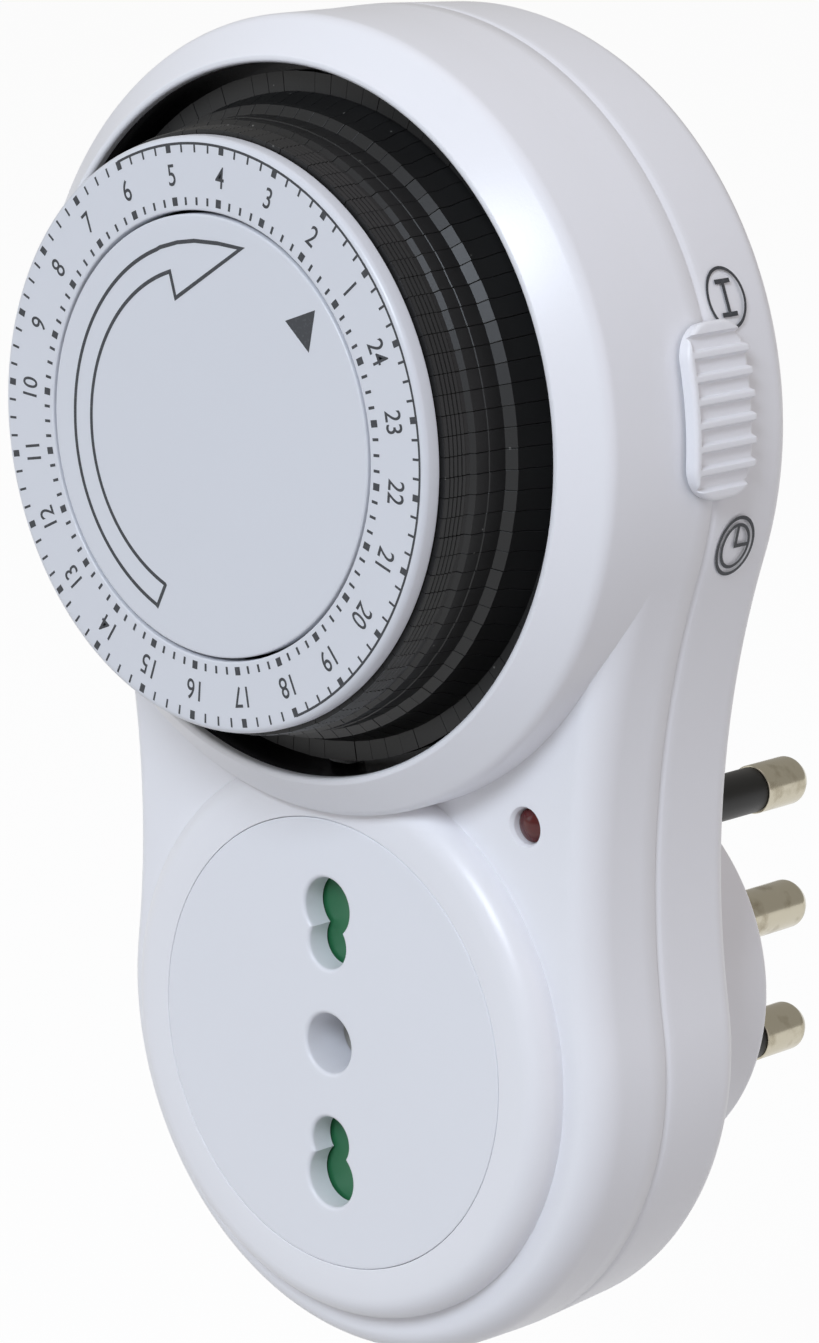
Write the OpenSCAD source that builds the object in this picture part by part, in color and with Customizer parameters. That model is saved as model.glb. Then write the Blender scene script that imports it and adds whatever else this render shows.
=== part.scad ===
// Plug-in 24 hour timer switch with a through socket.
// Frame: origin at the centre of the plug's seating face, +Y into the wall, +Z up, front of the timer at -Y.

/* [Housing] */
// Radius of the round lower end of the housing
lower_r = 30.7; // [30:0.1:33]
// Radius of the round upper end that carries the dial
upper_r = 36.4; // [36.4:0.1:39]
// Height of the dial axis above the socket axis
dial_height = 58.65; // [58.2:0.05:62]
// Radius of the hollow flanks between the two ends
flank_r = 88; // [75:1:130]
// Thickness of the housing walls
wall = 2; // [1.6:0.1:2.2]
// Depth of the front shell, from the parting line to the lower front face
front_depth = 9.3; // [9.3:0.1:12]
// Depth of the rear shell, from the parting line to its back
rear_depth = 11.4; // [11.4:0.1:14]
// Rounding of the lower front edge
front_round = 4; // [2.5:0.1:4.5]
// Rounding of the rear edge
rear_round = 3; // [2:0.1:3.2]
// How far the rear shell's side draws in towards its back
rear_draft = 0.4; // [0.1:0.1:0.4]
// Width of the groove along the parting line
groove_w = 0.6; // [0.3:0.1:0.9]
// Depth of the groove along the parting line
groove_d = 0.35; // [0.2:0.05:0.5]

/* [Bezel] */
// Width of the bezel, from the side wall in to the dial opening
bezel_w = 4.25; // [3.4:0.05:4.3]
// Height of the bezel above the lower front face
bezel_rise = 7.4; // [6:0.1:8.4]
// Depth of the bezel's sloping band
bezel_slope = 3.2; // [2.6:0.1:4]
// Rounding between the bezel's band and its side
bezel_round = 1.4; // [0.8:0.1:1.8]
// Rounding of the bezel's inner lip
lip_round = 0.65; // [0.4:0.05:0.8]
// Depth of the lip behind the bezel's front
lip_depth = 1; // [0.8:0.1:1.5]
// Thickness of the bezel wall in front of the timer base
bezel_wall = 3.3; // [3:0.1:3.4]

/* [Socket] */
// Radius of the raised ring round the socket
ring_r = 26.6; // [25:0.1:27.5]
// Height of the raised ring above the lower front face
face_rise = 3; // [2:0.1:4]
// Rounding of the raised ring's edge
ring_round = 2.4; // [1.4:0.1:2.6]
// Radius of the socket insert
insert_r = 21.4; // [20.8:0.1:21.8]
// Thickness of the insert at its holes
insert_t = 5; // [5:0.1:6]
// Width of the ledge that the insert rests on
ledge_w = 1.4; // [1:0.1:2]
// Radius of the holes for 5 mm pins
hole5_r = 2.85; // [2.7:0.05:3]
// Radius of the holes for 4 mm pins
hole4_r = 2.35; // [2.2:0.05:2.5]
// Distance of the 5 mm live and neutral pins from the earth pin
pitch5 = 13; // [13:0.1:13.2]
// Distance of the 4 mm live and neutral pins from the earth pin
pitch4 = 9.5; // [9.4:0.1:9.6]

/* [Shutter] */
// Depth of the shutter's plate behind the socket's face
shutter_depth = 2.8; // [2.6:0.1:3]
// Thickness of the shutter plate
shutter_t = 1.5; // [1.2:0.1:1.8]
// Sideways travel of the shutter
shutter_travel = 6.5; // [6.2:0.1:7]
// Radius of the shutter spring's coil
spring_r = 0.85; // [0.6:0.05:0.9]
// Thickness of the shutter spring's wire
spring_wire = 0.3; // [0.2:0.05:0.4]

/* [Plug] */
// Radius of the plug pins
pin_r = 2.5; // [2.4:0.05:2.6]
// Length of the plug pins beyond the seating face
pin_length = 21; // [19:0.5:23]
// Length of the insulating sleeves beyond the seating face
sleeve_length = 14; // [8:0.5:15]
// How far an insulating sleeve lies below the surface of the pin's bare tip
sleeve_step = 0.17; // [0.16:0.01:0.3]
// Wall of the insulating sleeves
sleeve_wall = 0.4; // [0.3:0.05:0.5]
// Radius of the round plug boss
boss_r = 20.2; // [20:0.1:21.5]
// Depth of the round plug boss
boss_depth = 16.3; // [15:0.1:18]
// Rounding of the plug boss's rim
boss_round = 1.4; // [0.8:0.1:2]
// Width of the oblong nose that seats on the wall socket
nose_w = 12; // [11:0.1:14]
// Length of the oblong nose
nose_len = 33; // [33:0.1:36]
// Depth of the oblong nose
nose_depth = 7.3; // [6:0.1:9]
// Thickness of the boss floor that the pin heads rest on
boss_floor = 2; // [1.6:0.1:2.6]

/* [Dial] */
// How far the dial stands in front of the bezel
dial_proud = 9.6; // [8.4:0.1:10.4]
// Radius of the numbered dial ring
dial_r = 26.5; // [26.3:0.05:26.8]
// Inner radius of the numbered dial ring
dial_in_r = 20; // [19:0.1:20.6]
// Thickness of the numbered dial ring
dial_t = 1.8; // [1.5:0.1:2]
// Angle of hour 24 on the dial, from the right-hand side
dial_angle = 24.29; // [0:0.01:45]
// Gap between the dial ring and the centre disc
disc_gap = 0.3; // [0.2:0.05:0.5]
// Thickness of the centre disc
disc_t = 1.5; // [1.2:0.1:1.8]

/* [Tappets] */
// Number of tappets round the dial, one for each quarter of an hour
tappets = 96; // [96]
// Length of a tappet along the dial axis
tappet_len = 12.7; // [12:0.1:12.8]
// Travel of a tappet when it is pushed in
tappet_travel = 2.2; // [1.6:0.1:2.2]
// Gap between neighbouring tappets
tappet_gap = 0.12; // [0.1:0.01:0.2]
// Gap between the tappets' foot and the dial opening
foot_gap = 0.95; // [0.8:0.05:1.5]
// Thickness of the tappets' foot
foot_t = 1.5; // [1:0.1:1.8]
// Width of a tappet's guide tongue
tongue_w = 0.9; // [0.7:0.05:0.95]
// Depth of the guide grooves in the carrier drum
groove_depth = 1.7; // [1.2:0.1:1.9]
// How much smaller the carrier drum's radius is than the dial ring's
drum_step = 0.8; // [0.8:0.1:1.1]
// Wall of the carrier drum behind its grooves
drum_wall = 1.4; // [1:0.1:1.8]

/* [Gear train] */
// Module of all the gears
gear_m = 0.8; // [0.78:0.01:0.8]
// Teeth on the dial gear
dial_teeth = 40; // [40]
// Teeth on the reduction gear's wheel
wheel_teeth = 25; // [25]
// Teeth on each pinion
pinion_teeth = 10; // [10]
// Face width of the dial gear
dial_gear_t = 2; // [1.6:0.1:2]
// Face width of the reduction wheel
wheel_t = 1.8; // [1.4:0.1:1.8]
// Radius of the fixed arbor that the dial turns on
arbor_r = 3; // [2.6:0.1:3.2]
// Outer radius of the dial hub
hub_r = 5; // [4.6:0.1:5.2]
// Radius of the reduction gear's shaft
shaft_r = 1.5; // [1.2:0.1:1.6]
// Direction of the reduction gear from the dial axis
reduction_angle = 150; // [145:1:155]
// Direction of the motor pinion from the reduction gear
motor_angle = -60; // [-64:1:-58]
// Radius of the motor
motor_r = 15; // [13.5:0.1:15.2]
// Depth of the motor
motor_depth = 9.2; // [8:0.1:9.6]
// Thickness of the timer base
base_t = 1.5; // [1.3:0.1:1.6]
// Thickness of the gear plate
plate_t = 1.5; // [1.3:0.1:1.6]

/* [Selector] */
// Length of the selector knob
knob_len = 15.5; // [15:0.1:16.4]
// Width of the selector knob
knob_w = 8.4; // [8:0.1:9]
// Height of the selector knob above the housing, without its ribs
knob_h = 0.6; // [0.5:0.1:1]
// Height of the ribs on the selector knob
rib_h = 0.6; // [0.4:0.1:0.9]
// Distance between the ribs on the selector knob
rib_pitch = 1.95; // [1.85:0.05:2.05]
// Width of the ribs on the selector knob
rib_w = 0.85; // [0.7:0.05:1]
// Width of the rim along the selector knob's front edge
rim_w = 0.6; // [0.4:0.1:1.2]
// Angle of the selector knob above the dial axis when on
knob_angle = 4.65; // [4:0.05:5.2]
// Angle that the selector knob travels
knob_travel = 9.3; // [8:0.1:9.6]
// Distance of the selector knob's middle in front of the parting line
knob_forward = 0.2; // [0.1:0.1:0.8]

/* [Indicator] */
// Sideways place of the indicator lens
lens_x = 22.1; // [21.6:0.1:22.8]
// Height of the dial axis above the indicator lens
lens_drop = 34.9; // [34.4:0.05:35.8]
// Radius of the indicator lens
lens_r = 1.55; // [1.45:0.05:1.8]

/* [Screws] */
// Radius of the housing screws
screw_r = 1.5; // [1.3:0.05:1.6]
// Radius of the housing screws' heads
head_r = 3.1; // [2.8:0.05:3.1]
// Depth of the screw recesses in the rear shell
recess_depth = 3; // [2.6:0.1:3.2]

/* [Hidden] */
tappet_names = [for (i = [1:20]) str("tappet_", i < 10 ? "0" : "", i)];

running = 0.05;   // radial clearance of a turning fit
slip = 0.1;       // clearance of a part that slips into another
air = 0.3;        // clearance between parts that pass each other
bend = 1.3;       // inner rounding of the rear shell
eps = 0.01;       // overlap that keeps cuts open

// Radii that follow from the housing and the dial
opening_r = upper_r - bezel_w;
foot_r = opening_r - foot_gap;
drum_r = dial_r - drum_step;
base_r = upper_r - wall - 0.4;
lens_z = dial_height - lens_drop;

sleeve_r = pin_r - sleeve_step;

// Depths, counted along Y from the seating face to the dial
y_boss = -nose_depth;
y_back = y_boss - boss_depth;
y_part = y_back - rear_depth;
y_front = y_part - front_depth;
y_face = y_front - face_rise;
y_bezel = y_front - bezel_rise;
y_dial = y_bezel - dial_proud;
y_inner = y_front + wall;
y_rear_in = y_back - wall;
y_floor = y_boss - boss_floor;

// Timer stack, counted back from the ledge in the front shell
y_base = y_front + 0.2;
y_gear = y_base + base_t + 0.5;
y_wheel = y_gear + dial_gear_t + 0.4;
y_plate = y_wheel + wheel_t + 0.6;
y_motor = y_plate + plate_t;

// Dial stack, counted back from the dial's face
y_tappet = y_dial + dial_t + 0.2;
y_drum_end = y_tappet + tappet_len - 0.7;
y_foot = y_tappet + tappet_len - foot_t;

// Socket stack, counted back from the socket's face
y_ledge = y_face + 3;
carrier_gap = 2.1;
y_insert = y_face + insert_t;
y_shutter = y_face + shutter_depth;
y_carrier = y_insert + carrier_gap;
carrier_t = 2;
contact_len = 10.1;
y_contact = y_carrier + carrier_t + air;
y_web = y_contact + contact_len;
strip_t = 0.8;
y_stub = y_floor - 4.5;

// Centre of the circle that shapes each hollow flank
low_d = lower_r + flank_r;
up_d = upper_r + flank_r;
flank_z = (low_d * low_d - up_d * up_d + dial_height * dial_height) / (2 * dial_height);
flank_x = sqrt(low_d * low_d - flank_z * flank_z);
low_a = atan2(flank_z, flank_x);
up_a = atan2(dial_height - flank_z, flank_x);

// Gear centres, seen from the dial axis
mesh_play = 0.12;
gear_arm = gear_m * (dial_teeth + pinion_teeth) / 2;
motor_arm = gear_m * (wheel_teeth + pinion_teeth) / 2;
red_x = gear_arm * cos(reduction_angle);
red_z = gear_arm * sin(reduction_angle);
mot_x = red_x + motor_arm * cos(motor_angle);
mot_z = red_z + motor_arm * sin(motor_angle);

// Screws: two at the lower end, two beside the top of the dial
low_screw_x = 18.6;
low_screw_z = -14.6;
top_screw_r = base_r - 4.5;
top_screw_a = 70;
screw_places = [
  [low_screw_x, low_screw_z], [-low_screw_x, low_screw_z],
  [top_screw_r * cos(top_screw_a), dial_height + top_screw_r * sin(top_screw_a)],
  [-top_screw_r * cos(top_screw_a), dial_height + top_screw_r * sin(top_screw_a)]];
post_r = 3;
post_gap = 0.2;
pad_t = 1.5;
y_seat = y_back - recess_depth;
y_post = y_seat - pad_t - post_gap;
pillar_ring = base_r - 7;
pillar_places = [for (a = [235, 330]) [pillar_ring * cos(a), pillar_ring * sin(a)]];
pillar_r = 2.5;
plate_r = base_r - 3;
plate_notch_w = 18;
plate_notch_z = -18;

// Selector, in angles round the dial axis
y_knob = y_part - knob_forward;
neck_w = 3.2;
neck_a = 2;
knob_half_a = knob_len / 2 / (upper_r + knob_h) * 180 / PI;

// Follower lever and switch, below the dial axis
follow_y = y_base + 4.4;
follow_drop = foot_r - 9.55;
follow_z = dial_height - follow_drop;
follow_r = 2.2;
follow_w = 5.8;
follow_pin_r = 1.2;
ear_t = 2;
ear_x = follow_w / 2 + air + ear_t / 2;
nose_z = follow_z - 7.4;
tail_z = follow_z - 9.2;
switch_w = 4;
y_blade = follow_y + 4.1;
blade_t = 0.3;
rivet_r = 1.3;
rivet_z = tail_z;
switch_base_w = 12;
rivet_t = 0.8;
hinge_z = follow_z - 2.4;
nose_tip = y_foot + foot_t + 0.4;
tilt = 14;
blade_tilt = 1.5 * tilt;
y_fixed = y_blade + blade_t / 2 + (hinge_z - rivet_z + rivet_r) * sin(blade_tilt)
  + (blade_t / 2 + rivet_t) * cos(blade_tilt) + 0.1 + rivet_t;

WHITE = [0.9, 0.9, 0.93];
DIAL = [0.82, 0.84, 0.88];
BLACK = [0.09, 0.09, 0.09];
GREEN = [0.18, 0.42, 0.27];
NICKEL = [0.72, 0.69, 0.62];
COPPER = [0.8, 0.55, 0.35];
AMBER = [0.85, 0.75, 0.5];

// ---- Building blocks ----

// Extrude an outline drawn in X and Z from depth y0 to depth y1
module slab(y0, y1) {
  translate([0, y1, 0]) rotate([90, 0, 0]) linear_extrude(y1 - y0) children();
}

// Round bar along Y
module rod(r, y0, y1, x = 0, z = 0, fn = 48) {
  translate([x, y1, z]) rotate([90, 0, 0]) cylinder(r = r, h = y1 - y0, $fn = fn);
}

// Solid turned about Y from a profile of [radius, depth] points
module turned(profile, a0 = 0, sweep = 360, fn = 120) {
  rotate([90, 0, 0]) rotate([0, 0, a0])
    rotate_extrude(angle = sweep, $fn = fn) polygon([for (p = profile) [p[0], -p[1]]]);
}

// Ring sector about Y
module sector(r0, r1, y0, y1, a0 = 0, sweep = 360, fn = 120) {
  turned([[r0, y0], [r1, y0], [r1, y1], [r0, y1]], a0, sweep, fn);
}

// Box between two corners
module block(x0, x1, y0, y1, z0, z1) {
  translate([x0, y0, z0]) cube([x1 - x0, y1 - y0, z1 - z0]);
}

module on_dial() {
  translate([0, 0, dial_height]) children();
}

// Housing outline that shrinks by an inset at each depth: two turned ends and a waist with hollow flanks.
// The upper end may have a turned profile of its own. The waist stops just short of the tangent lines.
seam_a = 1.5;
module body_form(profile, upper_end = undef) {
  n = len(profile) - 1;
  kite_x = dial_height / (tan(up_a + seam_a) + tan(low_a + seam_a));
  kite_z = kite_x * tan(low_a + seam_a);
  function end(r) = concat([[0, profile[0][1]]],
    [for (q = profile) [r - q[0], q[1]]], [[0, profile[n][1]]]);
  function flank() = concat([[0, profile[0][1] - 1], [flank_r + profile[0][0], profile[0][1] - 1]],
    [for (q = profile) [flank_r + q[0], q[1]]],
    [[flank_r + profile[n][0], profile[n][1] + 1], [0, profile[n][1] + 1]]);
  turned(end(lower_r));
  on_dial() turned(is_undef(upper_end) ? end(upper_r) : upper_end);
  difference() {
    slab(profile[0][1], profile[n][1])
      polygon([[0, 0], [kite_x, kite_z], [0, dial_height], [-kite_x, kite_z]]);
    for (side = [-1, 1])
      translate([side * flank_x, 0, flank_z]) turned(flank(), fn = 360);
  }
}

// Quarter round from a face into a side wall, as inset and depth; dir points into the body
function quarter(r, y, dir, base = 0) =
  [for (t = [0:15:90]) [base + r - r * sin(t), y + dir * (r - r * cos(t))]];

// Involute gear outline with a tooth centred on the angle a
function inv(a) = tan(a) * 180 / PI - a;
function tooth_half(r, teeth) =
  let (rp = gear_m * teeth / 2, rb = rp * cos(20))
  90 / teeth - mesh_play / 2 / rp * 180 / PI + inv(20) - inv(r > rb ? acos(rb / r) : 0)
  - (r > rb ? 0 : 60 / teeth * (rb - r) / rb * 4);
module gear_outline(teeth, a) {
  rp = gear_m * teeth / 2;
  root = rp - 1.2 * gear_m;
  tip = rp + 0.85 * gear_m;
  radii = [for (k = [0:5]) root + (tip - root) * k / 5];
  polygon([for (i = [0:teeth - 1]) each concat(
    [for (r = radii) let (b = a + i * 360 / teeth - tooth_half(r, teeth)) [r * cos(b), r * sin(b)]],
    [for (k = [5:-1:0]) let (r = radii[k], b = a + i * 360 / teeth + tooth_half(r, teeth))
      [r * cos(b), r * sin(b)]])]);
}

// The pin holes of one pole: a 5 mm and a 4 mm hole that run into each other
module keyhole(side, extra = 0) {
  translate([0, side * pitch5]) circle(r = hole5_r + extra, $fn = 64);
  translate([0, side * pitch4]) circle(r = hole4_r + extra, $fn = 64);
}

module stadium(w, l) {
  square([w, l - w], center = true);
  for (s = [-1, 1]) translate([0, s * (l - w) / 2]) circle(d = w, $fn = 64);
}

// ---- Housing ----

// Bezel from its crest round to the parting line, as radius and depth
crest_r = opening_r + lip_round;
drum_side = upper_r - 0.1;
band_turn = 90 - atan2(bezel_slope, drum_side - crest_r);
band_reach = bezel_round * tan(band_turn / 2);
bezel_profile = concat([[0, y_bezel]],
  [[crest_r, y_bezel]],
  [for (k = [0:6]) let (t = band_turn * (1 - k / 6))
    [drum_side - bezel_round * (1 - cos(t)), y_bezel + bezel_slope + band_reach - bezel_round * sin(t)]],
  [[upper_r, y_part - groove_w / 2], [upper_r - groove_d, y_part], [0, y_part]]);

// Space behind the bezel: rounded lip, ledge for the timer base, cavity
dial_space = concat([[0, y_bezel - 1], [opening_r + 0.9 * lip_round, y_bezel - 1]],
  [for (t = [15:15:90]) [crest_r - lip_round * sin(t), y_bezel + lip_round * (1 - cos(t))]],
  [[opening_r, y_bezel + lip_depth], [upper_r - bezel_wall, y_bezel + lip_depth],
   [upper_r - bezel_wall, y_base], [upper_r - wall, y_base], [upper_r - wall, y_part + 1], [0, y_part + 1]]);

module front_shell() {
  color(WHITE) {
    difference() {
      union() {
        body_form(concat(quarter(front_round, y_front, 1),
          [[0, y_part - groove_w / 2], [groove_d, y_part]]), bezel_profile);
        turned(concat([[0, y_front + wall / 2], [ring_r, y_front + wall / 2]],
          [for (t = [90:-15:0]) [ring_r - ring_round + ring_round * sin(t), y_face + ring_round * (1 - cos(t))]],
          [[0, y_face]]));
      }
      body_form([[wall, y_inner], [wall, y_part + 1]], dial_space);
      on_dial() knob_slot();
      rod(insert_r + slip, y_face - 1, y_ledge, fn = 120);
      rod(insert_r - ledge_w + slip, y_face, y_inner + 1, fn = 120);
      rod(lens_r + slip, y_front - 1, y_inner + 1, lens_x, lens_z);
      translate([lens_x, 0, lens_z])
        turned([[0, y_front - 1], [lens_r + 1.35, y_front - 1], [lens_r, y_front + 0.5], [0, y_front + 0.5]]);
    }
    for (p = [screw_places[0], screw_places[1]])
      difference() {
        rod(post_r, y_inner - 0.5, y_post, p[0], p[1]);
        rod(screw_r, y_inner + 1, y_post + 1, p[0], p[1]);
      }
  }
}

// Slot for the selector's neck, half in each shell
module knob_slot() {
  sector(upper_r - wall - 1, upper_r + 1, y_knob - neck_w / 2 - air, y_knob + neck_w / 2 + air,
    knob_angle - knob_travel - neck_a - 0.5, knob_travel + 2 * (neck_a + 0.5));
}

module rear_shell() {
  color(WHITE) difference() {
    union() {
      difference() {
        union() {
          body_form(concat([[groove_d, y_part], [0, y_part + groove_w / 2], [rear_draft, y_back - rear_round]],
            [for (t = [15:15:90]) [rear_draft + rear_round * (1 - cos(t)), y_back - rear_round + rear_round * sin(t)]]));
          turned(concat([[0, y_rear_in], [boss_r + 0.4, y_rear_in], [boss_r + 0.3, y_back + 0.8]],
            [for (t = [0:15:90]) [boss_r - boss_round + boss_round * cos(t), y_boss - boss_round + boss_round * sin(t)]],
            [[0, y_boss]]));
          slab(y_boss - 0.5, 0) stadium(nose_w, nose_len);
        }
        body_form([[wall, y_part - 1], [wall + 0.1, y_rear_in - bend],
          [wall + 0.1 + bend * 0.3, y_rear_in - bend * 0.3], [wall + 0.1 + bend, y_rear_in]]);
        rod(boss_r - wall, y_rear_in - 1, y_floor, fn = 120);
        on_dial() knob_slot();
      }
      for (p = screw_places) rod(head_r + 1.3, y_seat - pad_t, y_rear_in + eps, p[0], p[1]);
      for (s = [-1, 1]) {
        rod(2.6, y_floor - 2, y_floor + eps, s * 10, 0);
        block(s * 5 - 1, s * 5 + 1, y_switch_back, y_rear_in + eps, follow_z - 11, follow_z - 2);
      }
    }
    for (p = screw_places) {
      rod(head_r + air, y_seat, y_back + 1, p[0], p[1]);
      rod(screw_r + air, y_seat - pad_t - 1, y_seat + 1, p[0], p[1]);
    }
    for (s = [-1, 1]) rod(0.9, y_floor - 3, y_floor + 1.2, s * 10, 0);
    for (z = [-pitch5, 0, pitch5]) rod(pin_r + 0.02, y_floor - 1, 1, 0, z);
  }
}

module housing_screws() {
  color(NICKEL) for (p = screw_places) difference() {
    union() {
      rod(head_r, y_seat, y_seat + 2.2, p[0], p[1]);
      rod(screw_r - 0.02, y_post - 9, y_seat + eps, p[0], p[1], fn = 24);
    }
    for (a = [0, 90]) translate([p[0], y_seat + 2.2, p[1]]) rotate([0, a, 0])
      cube([3.6, 2, 0.8], center = true);
  }
}

// ---- Socket ----

module pin_holes(extra = 0) {
  circle(r = hole5_r + extra, $fn = 64);
  for (side = [-1, 1]) keyhole(side, extra);
}

module socket_insert() {
  color(WHITE) difference() {
    union() {
      rod(insert_r, y_face, y_ledge, fn = 120);
      rod(insert_r - ledge_w, y_ledge - eps, y_insert, fn = 120);
    }
    slab(y_face - 1, y_insert + 1) pin_holes();
    slab(y_shutter - air, y_insert + 1) difference() {
      pocket();
      circle(r = collar_r, $fn = 64);
    }
  }
}

// The shutter's sizes: its windows stand beside the pin holes until it is pushed over
window_x = -shutter_travel;
shutter_x0 = window_x - hole5_r - 2.4;
shutter_x1 = hole5_r + 2.2;
shutter_z = pitch5 + hole5_r + 1.6;
shutter_r = insert_r - ledge_w - 1.1;
spring_x1 = shutter_x1 + shutter_travel + 2.5;
collar_r = hole5_r + 0.8;

// Outline of the pocket that the shutter slides in, behind the face of the insert
module pocket(inset = 0) {
  intersection() {
    circle(r = shutter_r + 0.4 - inset, $fn = 96);
    translate([shutter_x0 - air + inset, -shutter_z - air + inset])
      square([spring_x1 - shutter_x0 + air - 2 * inset, 2 * (shutter_z + air - inset)]);
  }
}

module safety_shutter() {
  color(GREEN) slab(y_shutter, y_shutter + shutter_t) difference() {
    intersection() {
      translate([shutter_x0, -shutter_z]) square([shutter_x1 - shutter_x0, 2 * shutter_z]);
      circle(r = shutter_r, $fn = 96);
      translate([window_x, 0]) circle(r = shutter_r, $fn = 96);
    }
    translate([window_x, 0]) for (side = [-1, 1]) keyhole(side, 0.15);
    for (x = [0, window_x]) translate([x, 0]) circle(r = collar_r + air, $fn = 64);
    translate([window_x, -collar_r - air]) square([-window_x, 2 * (collar_r + air)]);
  }
}

// Compression spring drawn as its rings, joined by a straight wire
module shutter_spring() {
  turns = 8;
  step = (spring_x1 - shutter_x1) / turns;
  y_mid = y_shutter + shutter_t / 2;
  color(NICKEL) translate([0, y_mid, 0]) {
    for (i = [0:turns - 1])
      translate([shutter_x1 + (i + 0.5) * step, 0, 0]) rotate([0, 90, 0])
        rotate_extrude($fn = 24) translate([spring_r - spring_wire / 2, 0]) circle(d = spring_wire, $fn = 13);
    translate([shutter_x1, -spring_wire / 2, spring_r - spring_wire])
      cube([spring_x1 - shutter_x1, spring_wire, spring_wire]);
  }
}

module contact_carrier() {
  pocket_w = 10.4;
  pocket_z0 = 5.6;
  pocket_z1 = pitch5 + 4.4;
  color(WHITE) difference() {
    union() {
      rod(insert_r - ledge_w - 0.2, y_carrier, y_carrier + carrier_t, fn = 120);
      for (side = [-1, 1]) {
        block(-7, 7, y_insert, y_carrier + eps, side > 0 ? shutter_z + air : -shutter_z - air - 1,
          side > 0 ? shutter_z + air + 1 : -shutter_z - air);
        block(-pocket_w / 2, pocket_w / 2, y_carrier, y_web - 0.1,
          side > 0 ? pocket_z0 : -pocket_z1, side > 0 ? pocket_z1 : -pocket_z0);
      }
      slab(y_shutter + shutter_t + air, y_carrier + eps) pocket(slip);
      rod(5.2, y_carrier, y_web - 0.1);
    }
    slab(y_shutter, y_carrier + carrier_t + 1) pin_holes(0.2);
    rod(collar_r + slip, y_shutter, y_insert + slip);
    rod(4.2, y_carrier + carrier_t, y_web);
    for (side = [-1, 1])
      block(-pocket_w / 2 + 1, pocket_w / 2 - 1, y_carrier + carrier_t, y_web,
        side > 0 ? pocket_z0 + 1 : -pocket_z1 + 1, side > 0 ? pocket_z1 - 1 : -pocket_z0 - 1);
  }
}

// Two leaves that take a 4 mm or a 5 mm pin, joined by a web at the back
module pole_contact(side, web_end) {
  leaf = 0.6;
  inner = pin_r + 0.25;
  z0 = pitch4 - hole4_r;
  z1 = pitch5 + hole5_r + 0.2;
  mirror([0, 0, side > 0 ? 0 : 1]) {
    for (s = [-1, 1])
      block(s > 0 ? inner : -inner - leaf, s > 0 ? inner + leaf : -inner, y_contact, y_web + eps, z0, z1);
    block(-inner - leaf, inner + leaf, y_web, y_web + strip_t, z0, web_end);
  }
}

module live_contact() {
  color(COPPER) pole_contact(1, fixed_z0 + 1.6);
}

module neutral_contact() {
  color(COPPER) pole_contact(-1, pitch5 + hole5_r + 0.2);
}

module earth_contact() {
  color(COPPER) difference() {
    union() {
      rod(pin_r + 0.7, y_contact, y_web + eps);
      rod(pin_r + 1.2, y_web, y_web + strip_t);
    }
    rod(pin_r + 0.1, y_contact - 1, y_web + 0.2);
    block(-0.4, 0.4, y_contact - 1, y_web - 3, -5, 5);
    block(-5, 5, y_contact - 1, y_web - 3, -0.4, 0.4);
  }
}

module straight_bar(z) {
  block(-2, 2, y_web + strip_t, y_stub, z - strip_t / 2, z + strip_t / 2);
  for (y = [y_web + strip_t, y_stub - strip_t]) block(-2, 2, y, y + strip_t, z - 1.6, z + 1.6);
}

module neutral_bar() {
  color(COPPER) straight_bar(-pitch5);
}

module earth_bar() {
  color(COPPER) straight_bar(0);
}

// From the live pin forward, up behind the switch and forward again to the blade's root
module live_bar() {
  z_run = pitch5 + 4;
  y_up = y_rear_in - 0.8;
  color(COPPER) {
    block(-2, 2, y_stub - strip_t, y_stub, pitch5 - 1.6, z_run + strip_t);
    block(-2, 2, y_up, y_stub, z_run, z_run + strip_t);
    block(-2, 2, y_up, y_up + 0.6, z_run, follow_z + 0.7);
    block(-2, 2, y_blade + blade_t, y_up + 0.6, follow_z - 0.1, follow_z + 0.7);
    block(-2, 2, y_blade + blade_t, y_blade + blade_t + 0.6, follow_z - 0.1, follow_z + 1.7);
  }
}

// ---- Plug ----

// Pin with a head inside the boss and a stub for its bar; sleeved pins are slimmer under the sleeve
module plug_pin(z, sleeved) {
  bare = sleeve_r - sleeve_wall - 0.02;
  waist = sleeved ? sleeve_length : 0;
  tip = 1.1;
  translate([0, 0, z]) color(NICKEL) turned(concat(
    [[0, y_stub], [1.6, y_stub], [1.6, y_floor - 2], [4, y_floor - 2], [4, y_floor], [bare, y_floor],
     [bare, waist], [pin_r, waist]],
    [for (t = [0:15:90]) [pin_r - tip + tip * cos(t), pin_length - tip + tip * sin(t)]],
    [[0, pin_length]]), fn = 64);
}

module live_pin() {
  plug_pin(pitch5, true);
}

module neutral_pin() {
  plug_pin(-pitch5, true);
}

module earth_pin() {
  plug_pin(0, false);
}

module pin_sleeves() {
  color(BLACK) for (z = [-pitch5, pitch5]) translate([0, 0, z])
    sector(sleeve_r - sleeve_wall, sleeve_r, y_floor + 0.1, sleeve_length, fn = 64);
}

module pin_retainer() {
  color(WHITE) difference() {
    slab(y_floor - 4, y_floor - 2) {
      stadium(nose_w, 2 * (boss_r - wall) - 1.4);
      square([26, 7], center = true);
    }
    for (z = [-pitch5, 0, pitch5]) rod(1.6 + slip, y_floor - 5, y_floor - 1, 0, z);
    for (s = [-1, 1]) rod(1.1, y_floor - 5, y_floor - 1, s * 10, 0, fn = 24);
  }
}

module retainer_screws() {
  color(NICKEL) for (s = [-1, 1]) {
    rod(2, y_floor - 5.4, y_floor - 4, s * 10, 0, fn = 32);
    rod(0.88, y_floor - 4 - eps, y_floor + 1, s * 10, 0, fn = 24);
  }
}

// ---- Dial ----

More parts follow.
